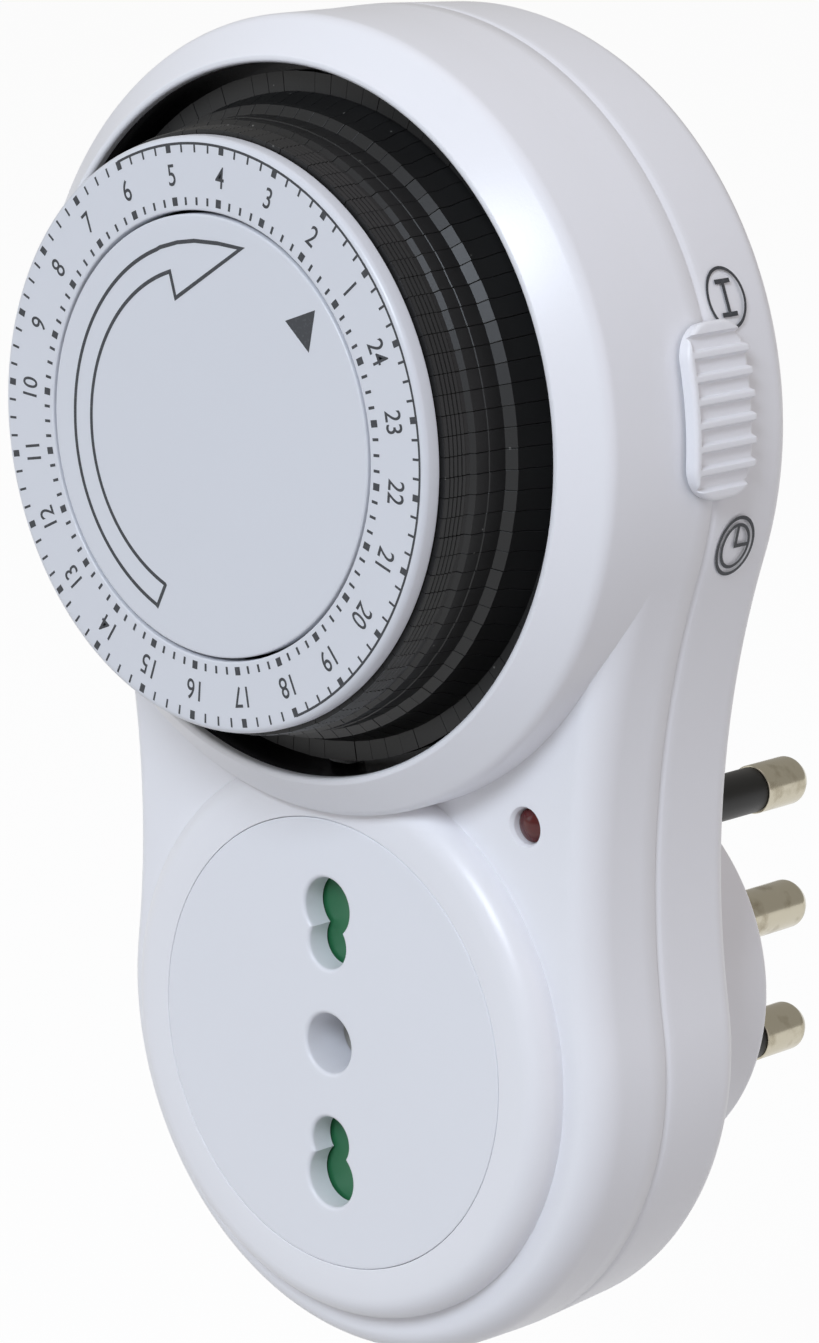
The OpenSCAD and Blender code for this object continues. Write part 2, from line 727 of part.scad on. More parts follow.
// Outer profile of a tappet from its front to its foot, stepping out as it goes back across the well
tappet_r = drum_r + 1.2;
well = opening_r - tappet_r;
tappet_profile = [
  [drum_r + 0.25, y_tappet], [tappet_r + 0.02 * well, y_tappet], [tappet_r + 0.057 * well, y_tappet + 3.8],
  [tappet_r + 0.2 * well, y_tappet + 4.7], [tappet_r + 0.219 * well, y_tappet + 6.8],
  [tappet_r + 0.438 * well, y_tappet + 7.7], [tappet_r + 0.476 * well, y_foot],
  [foot_r, y_foot], [foot_r, y_foot + foot_t], [drum_r + 0.25, y_foot + foot_t]];
tappet_pitch = 360 / tappets;
first_a = dial_angle + tappet_pitch / 2 - 16 * tappet_pitch;

module tappet(i) {
  gap_a = tappet_gap / tappet_r * 180 / PI;
  color(BLACK) on_dial() rotate([0, -first_a - i * tappet_pitch, 0]) union() {
    turned(tappet_profile, -tappet_pitch / 2 + gap_a / 2, tappet_pitch - gap_a, fn = 360);
    block(drum_r - groove_depth + 0.15, drum_r + 0.5, y_tappet + 0.4, y_foot + foot_t, -tongue_w / 2, tongue_w / 2);
  }
}

module other_tappets() {
  for (i = [len(tappet_names):tappets - 1]) tappet(i);
}

module tappet_carrier() {
  drum_in = drum_r - groove_depth - drum_wall;
  web_y = y_dial + 5;
  color(BLACK) on_dial() difference() {
    union() {
      sector(drum_in, drum_r, y_dial + dial_t, y_drum_end);
      sector(hub_r + 0.02, drum_in + 0.5, web_y, web_y + 1.5);
    }
    for (i = [0:tappets - 1]) rotate([0, -first_a - i * tappet_pitch, 0])
      block(drum_r - groove_depth, drum_r + 1, y_dial + dial_t + 0.4, y_drum_end + 1,
        -tongue_w / 2 - slip, tongue_w / 2 + slip);
  }
}

module dial_ring() {
  edge = 0.8;
  color(DIAL) on_dial() turned(concat(
    [[dial_in_r, y_dial], [dial_in_r, y_dial + dial_t], [dial_r, y_dial + dial_t]],
    [for (t = [90:-15:0]) [dial_r - edge + edge * sin(t), y_dial + edge * (1 - cos(t))]]));
}

module centre_disc() {
  color(DIAL) on_dial() {
    rod(dial_in_r - disc_gap, y_dial, y_dial + disc_t, fn = 120);
    sector(arbor_r + 0.02, hub_r, y_dial + disc_t - eps, y_dial + disc_t + 1.2);
  }
}

module dial_arbor() {
  color(NICKEL) on_dial() rod(arbor_r, y_dial + disc_t, y_plate + plate_t);
}

module dial_gear() {
  color(WHITE) on_dial() difference() {
    union() {
      rod(hub_r, y_dial + disc_t + 1.5, y_gear + dial_gear_t);
      slab(y_gear, y_gear + dial_gear_t) gear_outline(dial_teeth, reduction_angle);
    }
    rod(arbor_r + running, y_dial, y_wheel + 1);
  }
}

// ---- Timer ----

module reduction_gear() {
  color(WHITE) on_dial() translate([red_x, 0, red_z]) difference() {
    union() {
      slab(y_gear, y_wheel + eps) gear_outline(pinion_teeth, reduction_angle + 180 + 180 / pinion_teeth);
      slab(y_wheel, y_wheel + wheel_t) gear_outline(wheel_teeth, motor_angle);
    }
    rod(shaft_r + running, y_gear - 1, y_wheel + wheel_t + 1, fn = 48);
  }
}

module reduction_shaft() {
  color(NICKEL) on_dial() rod(shaft_r, y_base, y_plate + plate_t, red_x, red_z);
}

module motor_pinion() {
  color(NICKEL) on_dial() translate([mot_x, 0, mot_z]) {
    slab(y_wheel, y_wheel + wheel_t) gear_outline(pinion_teeth, motor_angle + 180 + 180 / pinion_teeth);
    rod(1, y_wheel + wheel_t - eps, y_motor + 0.8, fn = 32);
  }
}

module motor() {
  color(NICKEL) on_dial() translate([mot_x, 0, mot_z]) difference() {
    union() {
      rod(motor_r, y_motor, y_motor + motor_depth, fn = 96);
      block(motor_r - 2, motor_r + 2, y_motor + 3, y_motor + motor_depth - 2, -5, 5);
    }
    rod(1 + running, y_motor - 1, y_motor + 1, fn = 32);
  }
}

// Round plate with a collar that lines the dial well
module timer_base() {
  color(BLACK) difference() {
    union() {
      on_dial() {
        rod(base_r, y_base, y_base + base_t, fn = 120);
        sector(opening_r, upper_r - bezel_wall - slip, y_bezel + lip_depth + slip, y_base + eps);
        for (p = pillar_places) rod(pillar_r, y_base + base_t - eps, y_plate, p[0], p[1]);
      }
      for (p = [screw_places[2], screw_places[3]]) {
        rod(post_r + 0.6, y_base + base_t - eps, y_plate, p[0], p[1]);
        rod(post_r - 0.6, y_plate - eps, y_post, p[0], p[1]);
      }
      for (s = [-1, 1])
        block(s * ear_x - ear_t / 2, s * ear_x + ear_t / 2, y_base + base_t - eps, follow_y + follow_r - 0.4,
          follow_z - ear_t, follow_z + ear_t);
    }
    on_dial() {
      rod(hub_r + 0.4, y_base - 1, y_base + base_t + 1);
      rod(shaft_r + 0.01, y_base - 1, y_base + base_t + 1, red_x, red_z);
      for (p = pillar_places) rod(1.02, y_plate - 5, y_plate + 1, p[0], p[1], fn = 32);
    }
    for (p = [screw_places[2], screw_places[3]]) rod(screw_r, y_post - 10, y_post + 1, p[0], p[1]);
    block(-2.2, 2.2, y_base - 1, y_base + base_t + 1, nose_z - 3, nose_z + 1.5);
    translate([-2 * ear_x, follow_y, follow_z]) rotate([0, 90, 0])
      cylinder(r = follow_pin_r + 0.01, h = 4 * ear_x, $fn = 32);
  }
}

module gear_plate() {
  color(NICKEL) on_dial() slab(y_plate, y_plate + plate_t) difference() {
    circle(r = plate_r, $fn = 120);
    translate([-plate_notch_w / 2, -plate_r - 1]) square([plate_notch_w, plate_r + 1 + plate_notch_z]);
    circle(r = arbor_r + 0.01, $fn = 48);
    translate([red_x, red_z]) circle(r = shaft_r + 0.01, $fn = 48);
    translate([mot_x, mot_z]) circle(r = 1.6, $fn = 48);
    for (p = pillar_places) translate(p) circle(r = 1.1, $fn = 32);
    for (s = [-1, 1]) translate([s * top_screw_r * cos(top_screw_a), top_screw_r * sin(top_screw_a)])
      circle(r = post_r - 0.4, $fn = 48);
  }
}

module gear_plate_screws() {
  color(NICKEL) on_dial() for (p = pillar_places) {
    rod(2, y_plate + plate_t, y_plate + plate_t + 1.4, p[0], p[1], fn = 32);
    rod(1, y_plate - 4, y_plate + plate_t + eps, p[0], p[1], fn = 24);
  }
}

// All the screws: four in the housing, two in the pin retainer, two in the gear plate
module screws() {
  housing_screws();
  retainer_screws();
  gear_plate_screws();
}

// ---- Switch ----

// Lever that feels the pushed-in tappets through the timer base and works the switch blade
module follower_lever() {
  color(WHITE) difference() {
    union() {
      translate([-follow_w / 2, follow_y, follow_z]) rotate([0, 90, 0])
        cylinder(r = follow_r, h = follow_w, $fn = 48);
      block(-2, 2, follow_y - 1.2, follow_y + 1.2, tail_z - 0.8, follow_z);
      translate([-1.8, 0, 0]) rotate([90, 0, 90]) linear_extrude(3.6)
        polygon([[follow_y - 1, nose_z - 1.2], [nose_tip + 0.7, nose_z - 1.2], [nose_tip, nose_z - 0.5],
          [nose_tip, nose_z + 0.5], [nose_tip + 0.7, nose_z + 1.2], [follow_y - 1, nose_z + 1.2]]);
      block(-1.5, 1.5, follow_y + 1, y_blade - air, tail_z - 0.8, tail_z + 0.8);
    }
    translate([-follow_w, follow_y, follow_z]) rotate([0, 90, 0])
      cylinder(r = follow_pin_r + running, h = 2 * follow_w, $fn = 32);
  }
}

module follower_pin() {
  half = ear_x + ear_t / 2;
  color(NICKEL) translate([-half, follow_y, follow_z]) rotate([0, 90, 0])
    cylinder(r = follow_pin_r, h = 2 * half, $fn = 32);
}

y_switch_back = y_rear_in - 1.1;
fixed_z0 = rivet_z - 2.2;

module switch_base() {
  color(BLACK) translate([-switch_base_w / 2, 0, 0]) rotate([90, 0, 90]) linear_extrude(switch_base_w)
    polygon([[y_blade + blade_t, follow_z - 0.2], [y_blade + blade_t, hinge_z + 0.2],
      [y_fixed + 0.6, follow_z - 5], [y_fixed + 0.6, fixed_z0 + 1.8],
      [y_switch_back, fixed_z0 + 1.8], [y_switch_back, follow_z - 0.2]]);
}

module switch_blade() {
  color(COPPER) {
    block(-switch_w / 2, switch_w / 2, y_blade, y_blade + blade_t, rivet_z - 1.6, follow_z + 1.5);
    rod(rivet_r, y_blade + blade_t - eps, y_blade + blade_t + rivet_t, 0, rivet_z, fn = 32);
  }
}

module fixed_contact() {
  color(COPPER) {
    rod(rivet_r, y_fixed - rivet_t, y_fixed + eps, 0, rivet_z, fn = 32);
    block(-2, 2, y_fixed, y_fixed + 0.6, fixed_z0, rivet_z + 2);
    block(-2, 2, y_fixed, y_web, fixed_z0, fixed_z0 + 0.6);
  }
}

// ---- Selector ----

module knob_outline(extra = 0) {
  l = knob_len + 2 * extra;
  w = knob_w + 2 * extra;
  corner = 3.4;
  square([w - 2 * corner, l], center = true);
  square([w, l - 2 * corner], center = true);
  for (a = [-1, 1], b = [-1, 1])
    translate([a * (w / 2 - corner), b * (l / 2 - corner)]) circle(r = corner, $fn = 48);
}

module selector_knob() {
  inner = upper_r + air;
  pad_r = inner + knob_h;
  groove = (rib_pitch - rib_w) / 2;
  color(WHITE) on_dial() rotate([0, -knob_angle, 0]) {
    intersection() {
      difference() {
        sector(inner, pad_r + rib_h, y_knob - knob_w, y_knob + knob_w, -knob_half_a - 2, 2 * knob_half_a + 4);
        for (i = [-3:1:3]) rotate([0, -i * rib_pitch / pad_r * 180 / PI, 0])
          block(pad_r, pad_r + 2, y_knob - knob_w / 2 + rim_w, y_knob + knob_w, -groove, groove);
      }
      translate([inner - 4, y_knob, 0]) rotate([90, 0, 90]) linear_extrude(10) knob_outline();
    }
    sector(upper_r - wall - 0.8, inner + 0.3, y_knob - neck_w / 2, y_knob + neck_w / 2, -neck_a, 2 * neck_a);
    sector(upper_r - wall - 0.9, upper_r - wall - air, y_knob - 3.5, y_knob + 3.5, -5, 10);
  }
}

// Curved slide that carries the knob's motion round to the switch
module selector_link() {
  color(BLACK) on_dial()
    sector(upper_r - wall - 2.1, upper_r - wall - 0.9, y_knob - 3.5, y_knob - 1, -88, knob_angle + 93);
}

// ---- Indicator ----

module indicator_lens() {
  color([0.35, 0.04, 0.04]) translate([lens_x, 0, lens_z]) turned(
    [[0, y_front + 0.45], [lens_r - 0.5, y_front + 0.5], [lens_r, y_front + 0.9], [lens_r, y_inner],
     [lens_r + 0.9, y_inner], [lens_r + 0.9, y_inner + 1], [0, y_inner + 1]], fn = 48);
}

lamp_len = 7;
module neon_lamp() {
  color(AMBER) translate([lens_x, 0, lens_z]) turned(
    [[0, y_inner + 1.1], [0.9, y_inner + 1.3], [1.5, y_inner + 2.1], [1.5, y_inner + lamp_len], [0, y_inner + lamp_len]],
    fn = 48);
}

module neon_resistor() {
  z0 = lens_z - 3;
  y_mid = y_inner + lamp_len + 2.2;
  color(AMBER) {
    translate([lens_x, y_mid, z0]) cylinder(r = 1.2, h = 6, $fn = 32);
    rod(0.3, y_inner + lamp_len, y_mid, lens_x, lens_z, fn = 16);
  }
}

front_shell();
rear_shell();
screws();
socket_insert();
contact_carrier();
safety_shutter();
shutter_spring();
live_contact();
neutral_contact();
earth_contact();
live_bar();
neutral_bar();
earth_bar();
live_pin();
neutral_pin();
earth_pin();
pin_sleeves();
pin_retainer();
timer_base();
gear_plate();
dial_arbor();
centre_disc();
dial_ring();
tappet_carrier();
other_tappets();
dial_gear();
reduction_gear();
reduction_shaft();
motor_pinion();
motor();
follower_lever();
follower_pin();
switch_base();
switch_blade();
fixed_contact();
selector_knob();
selector_link();
indicator_lens();
neon_lamp();
neon_resistor();
for (i = [0:len(tappet_names) - 1])
  tappet(i);
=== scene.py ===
"""Looks of a plug-in 24-hour segment timer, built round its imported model.

Lengths are in millimetres until a mesh is made, in the model's own frame: X to the right, Z up,
and Y back from the dial to the wall, with the origin on the earth pin's seating face.
Angles are in degrees from X towards Z, so they run anticlockwise seen from the front.
"""

from __future__ import annotations

import logging
import math
from dataclasses import dataclass
from enum import Enum

import bmesh
import bpy
import numpy as np
from mathutils import Matrix, Vector
from mathutils.geometry import delaunay_2d_cdt


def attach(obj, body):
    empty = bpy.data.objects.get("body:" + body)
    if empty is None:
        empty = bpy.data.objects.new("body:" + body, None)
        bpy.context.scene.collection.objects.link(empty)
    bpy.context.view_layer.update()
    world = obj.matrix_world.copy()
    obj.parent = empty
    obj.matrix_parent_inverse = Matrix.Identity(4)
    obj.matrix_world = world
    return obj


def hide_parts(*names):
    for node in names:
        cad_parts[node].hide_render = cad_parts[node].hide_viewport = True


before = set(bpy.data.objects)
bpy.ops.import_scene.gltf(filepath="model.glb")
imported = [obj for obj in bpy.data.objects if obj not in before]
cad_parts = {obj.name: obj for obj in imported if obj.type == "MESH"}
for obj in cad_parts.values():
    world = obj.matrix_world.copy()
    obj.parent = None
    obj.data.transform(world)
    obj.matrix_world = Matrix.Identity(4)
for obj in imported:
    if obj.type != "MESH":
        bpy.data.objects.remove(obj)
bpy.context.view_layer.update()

log = logging.getLogger("timer")
MM, UM = 0.001, 1e-6  # a millimetre and a thousandth of it, in metres
PER_MM = 1000.0  # a pattern's scale for a size of 1 mm
NEAR = 0.01  # room in a comparison, in millimetres or degrees
Array = np.ndarray
Patch = tuple[Array, list[tuple[int, ...]]]
Point = tuple[float, float]
Material = bpy.types.Material


class Slot(Enum):
    """The record's material slots."""

    HOUSING = "housing_plastic"
    INSERT = "insert_plastic"
    DIAL = "dial_plastic"
    BLACK = "black_plastic"
    SLEEVE = "sleeve_plastic"
    LENS = "lens_plastic"
    NICKEL = "nickel_plated_brass"


# ---- Colour and nodes ----


def linear(code: str, factor: float = 1.0) -> tuple[float, float, float, float]:
    """Linear colour of an sRGB hex value.

    Args:
        code: Colour such as "#E9E9F0".
        factor: What each linear channel is multiplied by.

    Returns:
        Red, green, blue and 1, each channel c by ((c + 0.055) / 1.055) ** 2.4, or c / 12.92 below 0.04045.
    """
    c = np.array([int(code[i : i + 2], 16) / 255 for i in (1, 3, 5)])
    lin = np.where(c <= 0.04045, c / 12.92, ((c + 0.055) / 1.055) ** 2.4) * factor
    return (*map(float, np.minimum(lin, 1.0)), 1.0)


def add_node(tree: bpy.types.NodeTree, kind: str, inputs: dict | None = None, **settings: object) -> bpy.types.Node:
    """Adds a node, sets it up and links it.

    Args:
        tree: Node tree that gets the node.
        kind: The node's type name.
        inputs: Input name or number to a value, to the output that feeds it, or to a node whose first output does.
        settings: Properties of the node itself.

    Returns:
        The new node.
    """
    node = tree.nodes.new(kind)
    for key, value in settings.items():
        setattr(node, key, value)
    for key, value in (inputs or {}).items():
        if isinstance(value, bpy.types.Node):
            value = next(output for output in value.outputs if output.enabled)
        if isinstance(value, bpy.types.NodeSocket):
            tree.links.new(value, node.inputs[key])
        else:
            node.inputs[key].default_value = value
    return node


def new_tree(name: str) -> tuple[Material, bpy.types.NodeTree]:
    """An empty material with nodes.

    Args:
        name: The material's name.

    Returns:
        The material and its node tree.
    """
    material = bpy.data.materials.new(name)
    material.use_nodes = True
    material.node_tree.nodes.clear()
    return material, material.node_tree


# ---- Finishes ----


@dataclass(frozen=True)
class Finish:
    """What every finish has: a name and a main colour.

    Attributes:
        name: The material's name.
        colour: Hex colour.
    """

    name: str
    colour: str

    def start(self) -> tuple[Material, bpy.types.NodeTree, bpy.types.NodeSocket]:
        """An empty material, its tree, and the object's own coordinates as an output in it."""
        material, tree = new_tree(self.name)
        return material, tree, add_node(tree, "ShaderNodeTexCoord").outputs["Object"]


@dataclass(frozen=True)
class Moulded(Finish):
    """Injection-moulded plastic: its mould leaves a fine grain, and the gloss drifts a little over the face.

    A real grain is some 0.05 to 0.1 mm wide and would be too fine to show, so it is drawn a few times as coarse.

    Attributes:
        roughness: Roughness of the skin.
        grain_mm: Distance between the grain's pits.
        grain_um: Height of the grain in thousandths of a millimetre.
        mottle: Share by which the colour drifts.
        mottle_mm: Size of that drift.
        dust: Share of the face with light specks of dust.
        sheen: Strength of the mirror-like share, 0.5 for a smooth skin and less for a pitted one.
        ior: Index of refraction.
        speck_mm: Distance between two specks of dust.
    """

    roughness: float
    grain_mm: float
    grain_um: float
    mottle: float
    mottle_mm: float = 18.0
    dust: float = 0.0
    sheen: float = 0.5
    ior: float = 1.53
    speck_mm: float = 2.6

    def make(self) -> Material:
        """Builds the material: noise for the grain's bump, slow noise for colour and gloss, specks for dust.

        Returns:
            The material.
        """
        material, tree, place = self.start()
        slow = add_node(tree, "ShaderNodeTexNoise", {
            "Vector": place, "Scale": PER_MM / self.mottle_mm, "Detail": 3.0})
        grain = add_node(tree, "ShaderNodeTexNoise", {
            "Vector": place, "Scale": PER_MM / self.grain_mm, "Detail": 2.0, "Roughness": 0.6})
        colour = add_node(tree, "ShaderNodeMix", {
            "Factor": slow, "A": linear(self.colour, 1 - self.mottle), "B": linear(self.colour, 1 + self.mottle),
        }, data_type="RGBA")
        if self.dust:
            cell = add_node(tree, "ShaderNodeTexVoronoi", {"Vector": place, "Scale": PER_MM / self.speck_mm})
            speck = add_node(tree, "ShaderNodeMapRange", {
                "Value": cell, "From Min": self.dust, "From Max": self.dust * 0.6, "To Min": 0.0, "To Max": 0.5})
            colour = add_node(tree, "ShaderNodeMix", {
                "Factor": speck, "A": colour, "B": linear("#8C8C88")}, data_type="RGBA")
        rough = add_node(tree, "ShaderNodeMapRange", {
            "Value": slow, "To Min": self.roughness - 0.03, "To Max": self.roughness + 0.04})
        bump = add_node(tree, "ShaderNodeBump", {
            "Height": grain, "Strength": 1.0, "Distance": self.grain_um * UM})
        skin = add_node(tree, "ShaderNodeBsdfPrincipled", {
            "Base Color": colour, "Roughness": rough, "Normal": bump, "IOR": self.ior,
            "Specular IOR Level": self.sheen})
        add_node(tree, "ShaderNodeOutputMaterial", {"Surface": skin})
        return material


@dataclass(frozen=True)
class Printed(Finish):
    """Pad-printed ink: a thin matt film, a touch uneven where less ink was left.

    Attributes:
        thin: Hex colour where the film is thin.
        blot_mm: Size of the thin places.
    """

    thin: str
    blot_mm: float = 0.35

    def make(self) -> Material:
        """Builds the material: fine noise mixes the full and the thin colour.

        Returns:
            The material.
        """
        material, tree, place = self.start()
        blot = add_node(tree, "ShaderNodeTexNoise", {"Vector": place, "Scale": PER_MM / self.blot_mm, "Detail": 3.0})
        share = add_node(tree, "ShaderNodeMapRange", {"Value": blot, "From Min": 0.55, "From Max": 0.8})
        colour = add_node(tree, "ShaderNodeMix", {
            "Factor": share, "A": linear(self.colour), "B": linear(self.thin)}, data_type="RGBA")
        skin = add_node(tree, "ShaderNodeBsdfPrincipled", {"Base Color": colour, "Roughness": 0.6, "IOR": 1.5})
        add_node(tree, "ShaderNodeOutputMaterial", {"Surface": skin})
        return material


@dataclass(frozen=True)
class Metal(Finish):
    """Turned, stamped or plated metal: fine tool lines across it, and slow stains.

    Real tool lines are some 0.1 mm apart and would be too fine to show, so they are drawn coarser.

    Attributes:
        stain: Hex colour of the dull patches.
        roughness: Roughness of the clean metal.
        stained: Share of the face that is dull.
        stain_mm: Size of the dull patches.
        line_mm: Distance between tool lines along Y.
        run_mm: How far a tool line keeps its depth.
        line_um: Depth of a tool line in thousandths of a millimetre.
    """

    stain: str
    roughness: float
    stained: float = 0.35
    stain_mm: float = 2.4
    line_mm: float = 0.25
    run_mm: float = 100 / 9
    line_um: float = 1.5

    def make(self) -> Material:
        """Builds the material: noise squeezed along Y for tool lines, slow noise for stains.

        Returns:
            The material.
        """
        material, tree, place = self.start()
        run = PER_MM / self.run_mm
        squeezed = add_node(tree, "ShaderNodeMapping", {
            "Vector": place, "Scale": (run, PER_MM / self.line_mm, run)})
        lines = add_node(tree, "ShaderNodeTexNoise", {"Vector": squeezed, "Scale": 1.0, "Detail": 3.0})
        slow = add_node(tree, "ShaderNodeTexNoise", {"Vector": place, "Scale": PER_MM / self.stain_mm, "Detail": 4.0})
        patch = add_node(tree, "ShaderNodeMapRange", {
            "Value": slow, "From Min": 0.62 - self.stained / 2, "From Max": 0.72})
        colour = add_node(tree, "ShaderNodeMix", {
            "Factor": patch, "A": linear(self.colour), "B": linear(self.stain)}, data_type="RGBA")
        rough = add_node(tree, "ShaderNodeMapRange", {
            "Value": patch, "To Min": self.roughness, "To Max": self.roughness + 0.12})
        bump = add_node(tree, "ShaderNodeBump", {"Height": lines, "Strength": 1.0, "Distance": self.line_um * UM})
        skin = add_node(tree, "ShaderNodeBsdfPrincipled", {
            "Base Color": colour, "Metallic": 1.0, "Roughness": rough, "Normal": bump})
        add_node(tree, "ShaderNodeOutputMaterial", {"Surface": skin})
        return material


@dataclass(frozen=True)
class Clear(Finish):
    """Clear or tinted glass and plastic, smooth from a polished mould, with faint waves.

    Attributes:
        transmission: Share of the light that goes through.
        roughness: Roughness of the skin.
        ior: Index of refraction.
        wave_mm: Distance between two waves, which are wave_um high in thousandths of a millimetre.
    """

    transmission: float
    roughness: float = 0.06
    ior: float = 1.49
    wave_mm: float = 1.2
    wave_um: float = 4.0

    def make(self) -> Material:
        """Builds the material: slow noise waves the surface and shades the tint.

        Returns:
            The material.
        """
        material, tree, place = self.start()
        wave = add_node(tree, "ShaderNodeTexNoise", {"Vector": place, "Scale": PER_MM / self.wave_mm, "Detail": 2.0})
        colour = add_node(tree, "ShaderNodeMix", {
            "Factor": wave, "A": linear(self.colour, 0.8), "B": linear(self.colour, 1.15)}, data_type="RGBA")
        bump = add_node(tree, "ShaderNodeBump", {"Height": wave, "Strength": 1.0, "Distance": self.wave_um * UM})
        skin = add_node(tree, "ShaderNodeBsdfPrincipled", {
            "Base Color": colour, "Roughness": self.roughness, "Normal": bump, "IOR": self.ior,
            "Transmission Weight": self.transmission, "Coat Weight": 0.1, "Coat Roughness": 0.05})
        add_node(tree, "ShaderNodeOutputMaterial", {"Surface": skin})
        return material


# ---- Shapes as numpy surfaces ----


def polar(a: Array | float, r: Array | float, centre: Point = (0.0, 0.0)) -> Array:
    """Points (x, z) at centre + r (cos a, sin a), with the angle in degrees."""
    t = np.radians(np.asarray(a, float))
    return np.stack([centre[0] + r * np.cos(t), centre[1] + r * np.sin(t)], -1)


def circle(r: float, step: float = 2.0, centre: Point = (0.0, 0.0)) -> Array:
    """A closed circle with a point at every so many degrees."""
    return polar(np.arange(0, 360, step), r, centre)


def at_depth(flat: Array, y: Array | float) -> Array:
    """Points (x, z) of any shape set at depth y, as (x, y, z)."""
    return np.stack([flat[..., 0], np.broadcast_to(y, flat.shape[:-1]), flat[..., 1]], -1)


def grid(points: Array, wrap_rows: bool = False, wrap_cols: bool = False) -> Patch:
    """Quads over a grid of points: a face joins (i, j), (i, j + 1), (i + 1, j + 1) and (i + 1, j).

    Args:
        points: Points of shape (rows, columns, 3).
        wrap_rows: The last row joins the first.
        wrap_cols: The last column joins the first.

    Returns:
        Vertices and faces.
    """
    rows, cols = points.shape[:2]
    i, j = np.meshgrid(np.arange(rows - (not wrap_rows)), np.arange(cols - (not wrap_cols)), indexing="ij")
    i2, j2 = (i + 1) % rows, (j + 1) % cols
    quads = np.stack([i * cols + j, i * cols + j2, i2 * cols + j2, i2 * cols + j], -1).reshape(-1, 4)
    return points.reshape(-1, 3), [tuple(q) for q in quads.tolist()]


def turned(profile: Array, centre: Point = (0.0, 0.0), steps: int = 180, closed: bool = True) -> Patch:
    """A profile turned about an axis along Y: x = cx + r cos a, z = cz + r sin a, at each depth y.

    Args:
        profile: Points (radius, y).
        centre: Where the axis passes, as x and z.
        steps: Points round the axis.
        closed: The profile's last point joins its first.

    Returns:
        Vertices and faces.
    """
    a = np.linspace(0, 2 * np.pi, steps, endpoint=False)
    r, y = profile[:, :1], profile[:, 1:]
    flat = np.stack([centre[0] + r * np.cos(a), centre[1] + r * np.sin(a)], -1)
    return grid(at_depth(flat, y), wrap_rows=closed, wrap_cols=True)


def filleted(corners: list[tuple[float, float, float]], steps: int = 6, closed: bool = True) -> Array:
    """A polygon with rounded corners: each corner becomes an arc that touches both of its sides.

    Args:
        corners: Each corner's two coordinates and its radius, 0 for a sharp one.
        steps: Points on each arc.
        closed: The last corner joins the first; otherwise both ends stay sharp.

    Returns:
        Points of shape (n, 2).
    """
    pts = np.array([c[:2] for c in corners], float)
    out: list[Array] = []
    for k, (_, _, radius) in enumerate(corners):
        p = pts[k]
        if radius <= 0 or (not closed and k in (0, len(pts) - 1)):
            out.append(p[None])
            continue
        u, v = pts[k - 1] - p, pts[(k + 1) % len(pts)] - p
        u, v = u / np.linalg.norm(u), v / np.linalg.norm(v)
        half = math.acos(float(np.clip(u @ v, -1, 1))) / 2
        middle = p + (u + v) / np.linalg.norm(u + v) * radius / math.sin(half)
        start, end = (p + w * radius / math.tan(half) - middle for w in (u, v))
        a0, a1 = math.atan2(start[1], start[0]), math.atan2(end[1], end[0])
        turn = (a1 - a0 + math.pi) % (2 * math.pi) - math.pi
        t = a0 + turn * np.linspace(0, 1, steps)
        out.append(middle + radius * np.stack([np.cos(t), np.sin(t)], -1))
    return np.concatenate(out)


def inside(points: Array, loops: list[Array]) -> Array:
    """Which points lie inside an odd number of closed loops, by counting the sides crossed towards +x.

    Args:
        points: Points of shape (n, 2).
        loops: The loops, each of shape (m, 2).

    Returns:
        True or false for each point.
    """
    hits = np.zeros(len(points), int)
    px, pz = points[:, :1], points[:, 1:]
    for loop in loops:
        a, b = loop, np.roll(loop, -1, 0)
        spans = (a[:, 1] > pz) != (b[:, 1] > pz)
        rise = np.where(b[:, 1] == a[:, 1], 1e-12, b[:, 1] - a[:, 1])
        hits += (spans & (px < (b[:, 0] - a[:, 0]) * (pz - a[:, 1]) / rise + a[:, 0])).sum(1)
    return hits % 2 == 1


def flat_region(loops: list[Array], y: float) -> Patch:
    """Triangles that fill the area inside an odd number of loops, at one depth.

    Args:
        loops: Closed outlines and holes, each of shape (n, 2) in x and z.
        y: The depth of the face.

    Returns:
        Vertices and faces.
    """
    starts = np.cumsum([0] + [len(loop) for loop in loops[:-1]])
    edges = [(int(s + k), int(s + (k + 1) % len(loop))) for s, loop in zip(starts, loops) for k in range(len(loop))]
    found = delaunay_2d_cdt([Vector(p) for p in np.concatenate(loops).tolist()], edges, [], 0, 1e-6)
    points, triangles = np.array([tuple(v) for v in found[0]]), np.array(found[2])
    kept = triangles[inside(points[triangles].mean(1), loops)]
    return at_depth(points, y), [tuple(t) for t in kept.tolist()]


def stroke(line: Array, width: float, closed: bool = True) -> tuple[Array, bool]:
    """The two sides of a drawn line, half its width to each side, mitred at corners.

    Args:
        line: Points of the line, shape (n, 2).
        width: Width of the line.
        closed: The last point joins the first.

    Returns:
        Points of shape (2, n, 2), and whether the line is closed.
    """
    before, after = np.roll(line, 1, 0), np.roll(line, -1, 0)
    if not closed:
        before[0], after[-1] = 2 * line[0] - line[1], 2 * line[-1] - line[-2]
    d0, d1 = (d / np.linalg.norm(d, axis=1, keepdims=True) for d in (line - before, after - line))
    n0, n1 = (np.stack([-d[:, 1], d[:, 0]], -1) for d in (d0, d1))
    mid = (n0 + n1) / np.linalg.norm(n0 + n1, axis=1, keepdims=True)
    reach = width / 2 / np.clip((mid * n1).sum(1, keepdims=True), 0.35, 1)
    return np.stack([line - mid * reach, line + mid * reach]), closed


def ramp(x: Array, start: float, end: float) -> Array:
    """A smooth step from 0 at start to 1 at end: t^2 (3 - 2t) of the share t between them."""
    t = np.clip((x - start) / (end - start), 0, 1)
    return t * t * (3 - 2 * t)


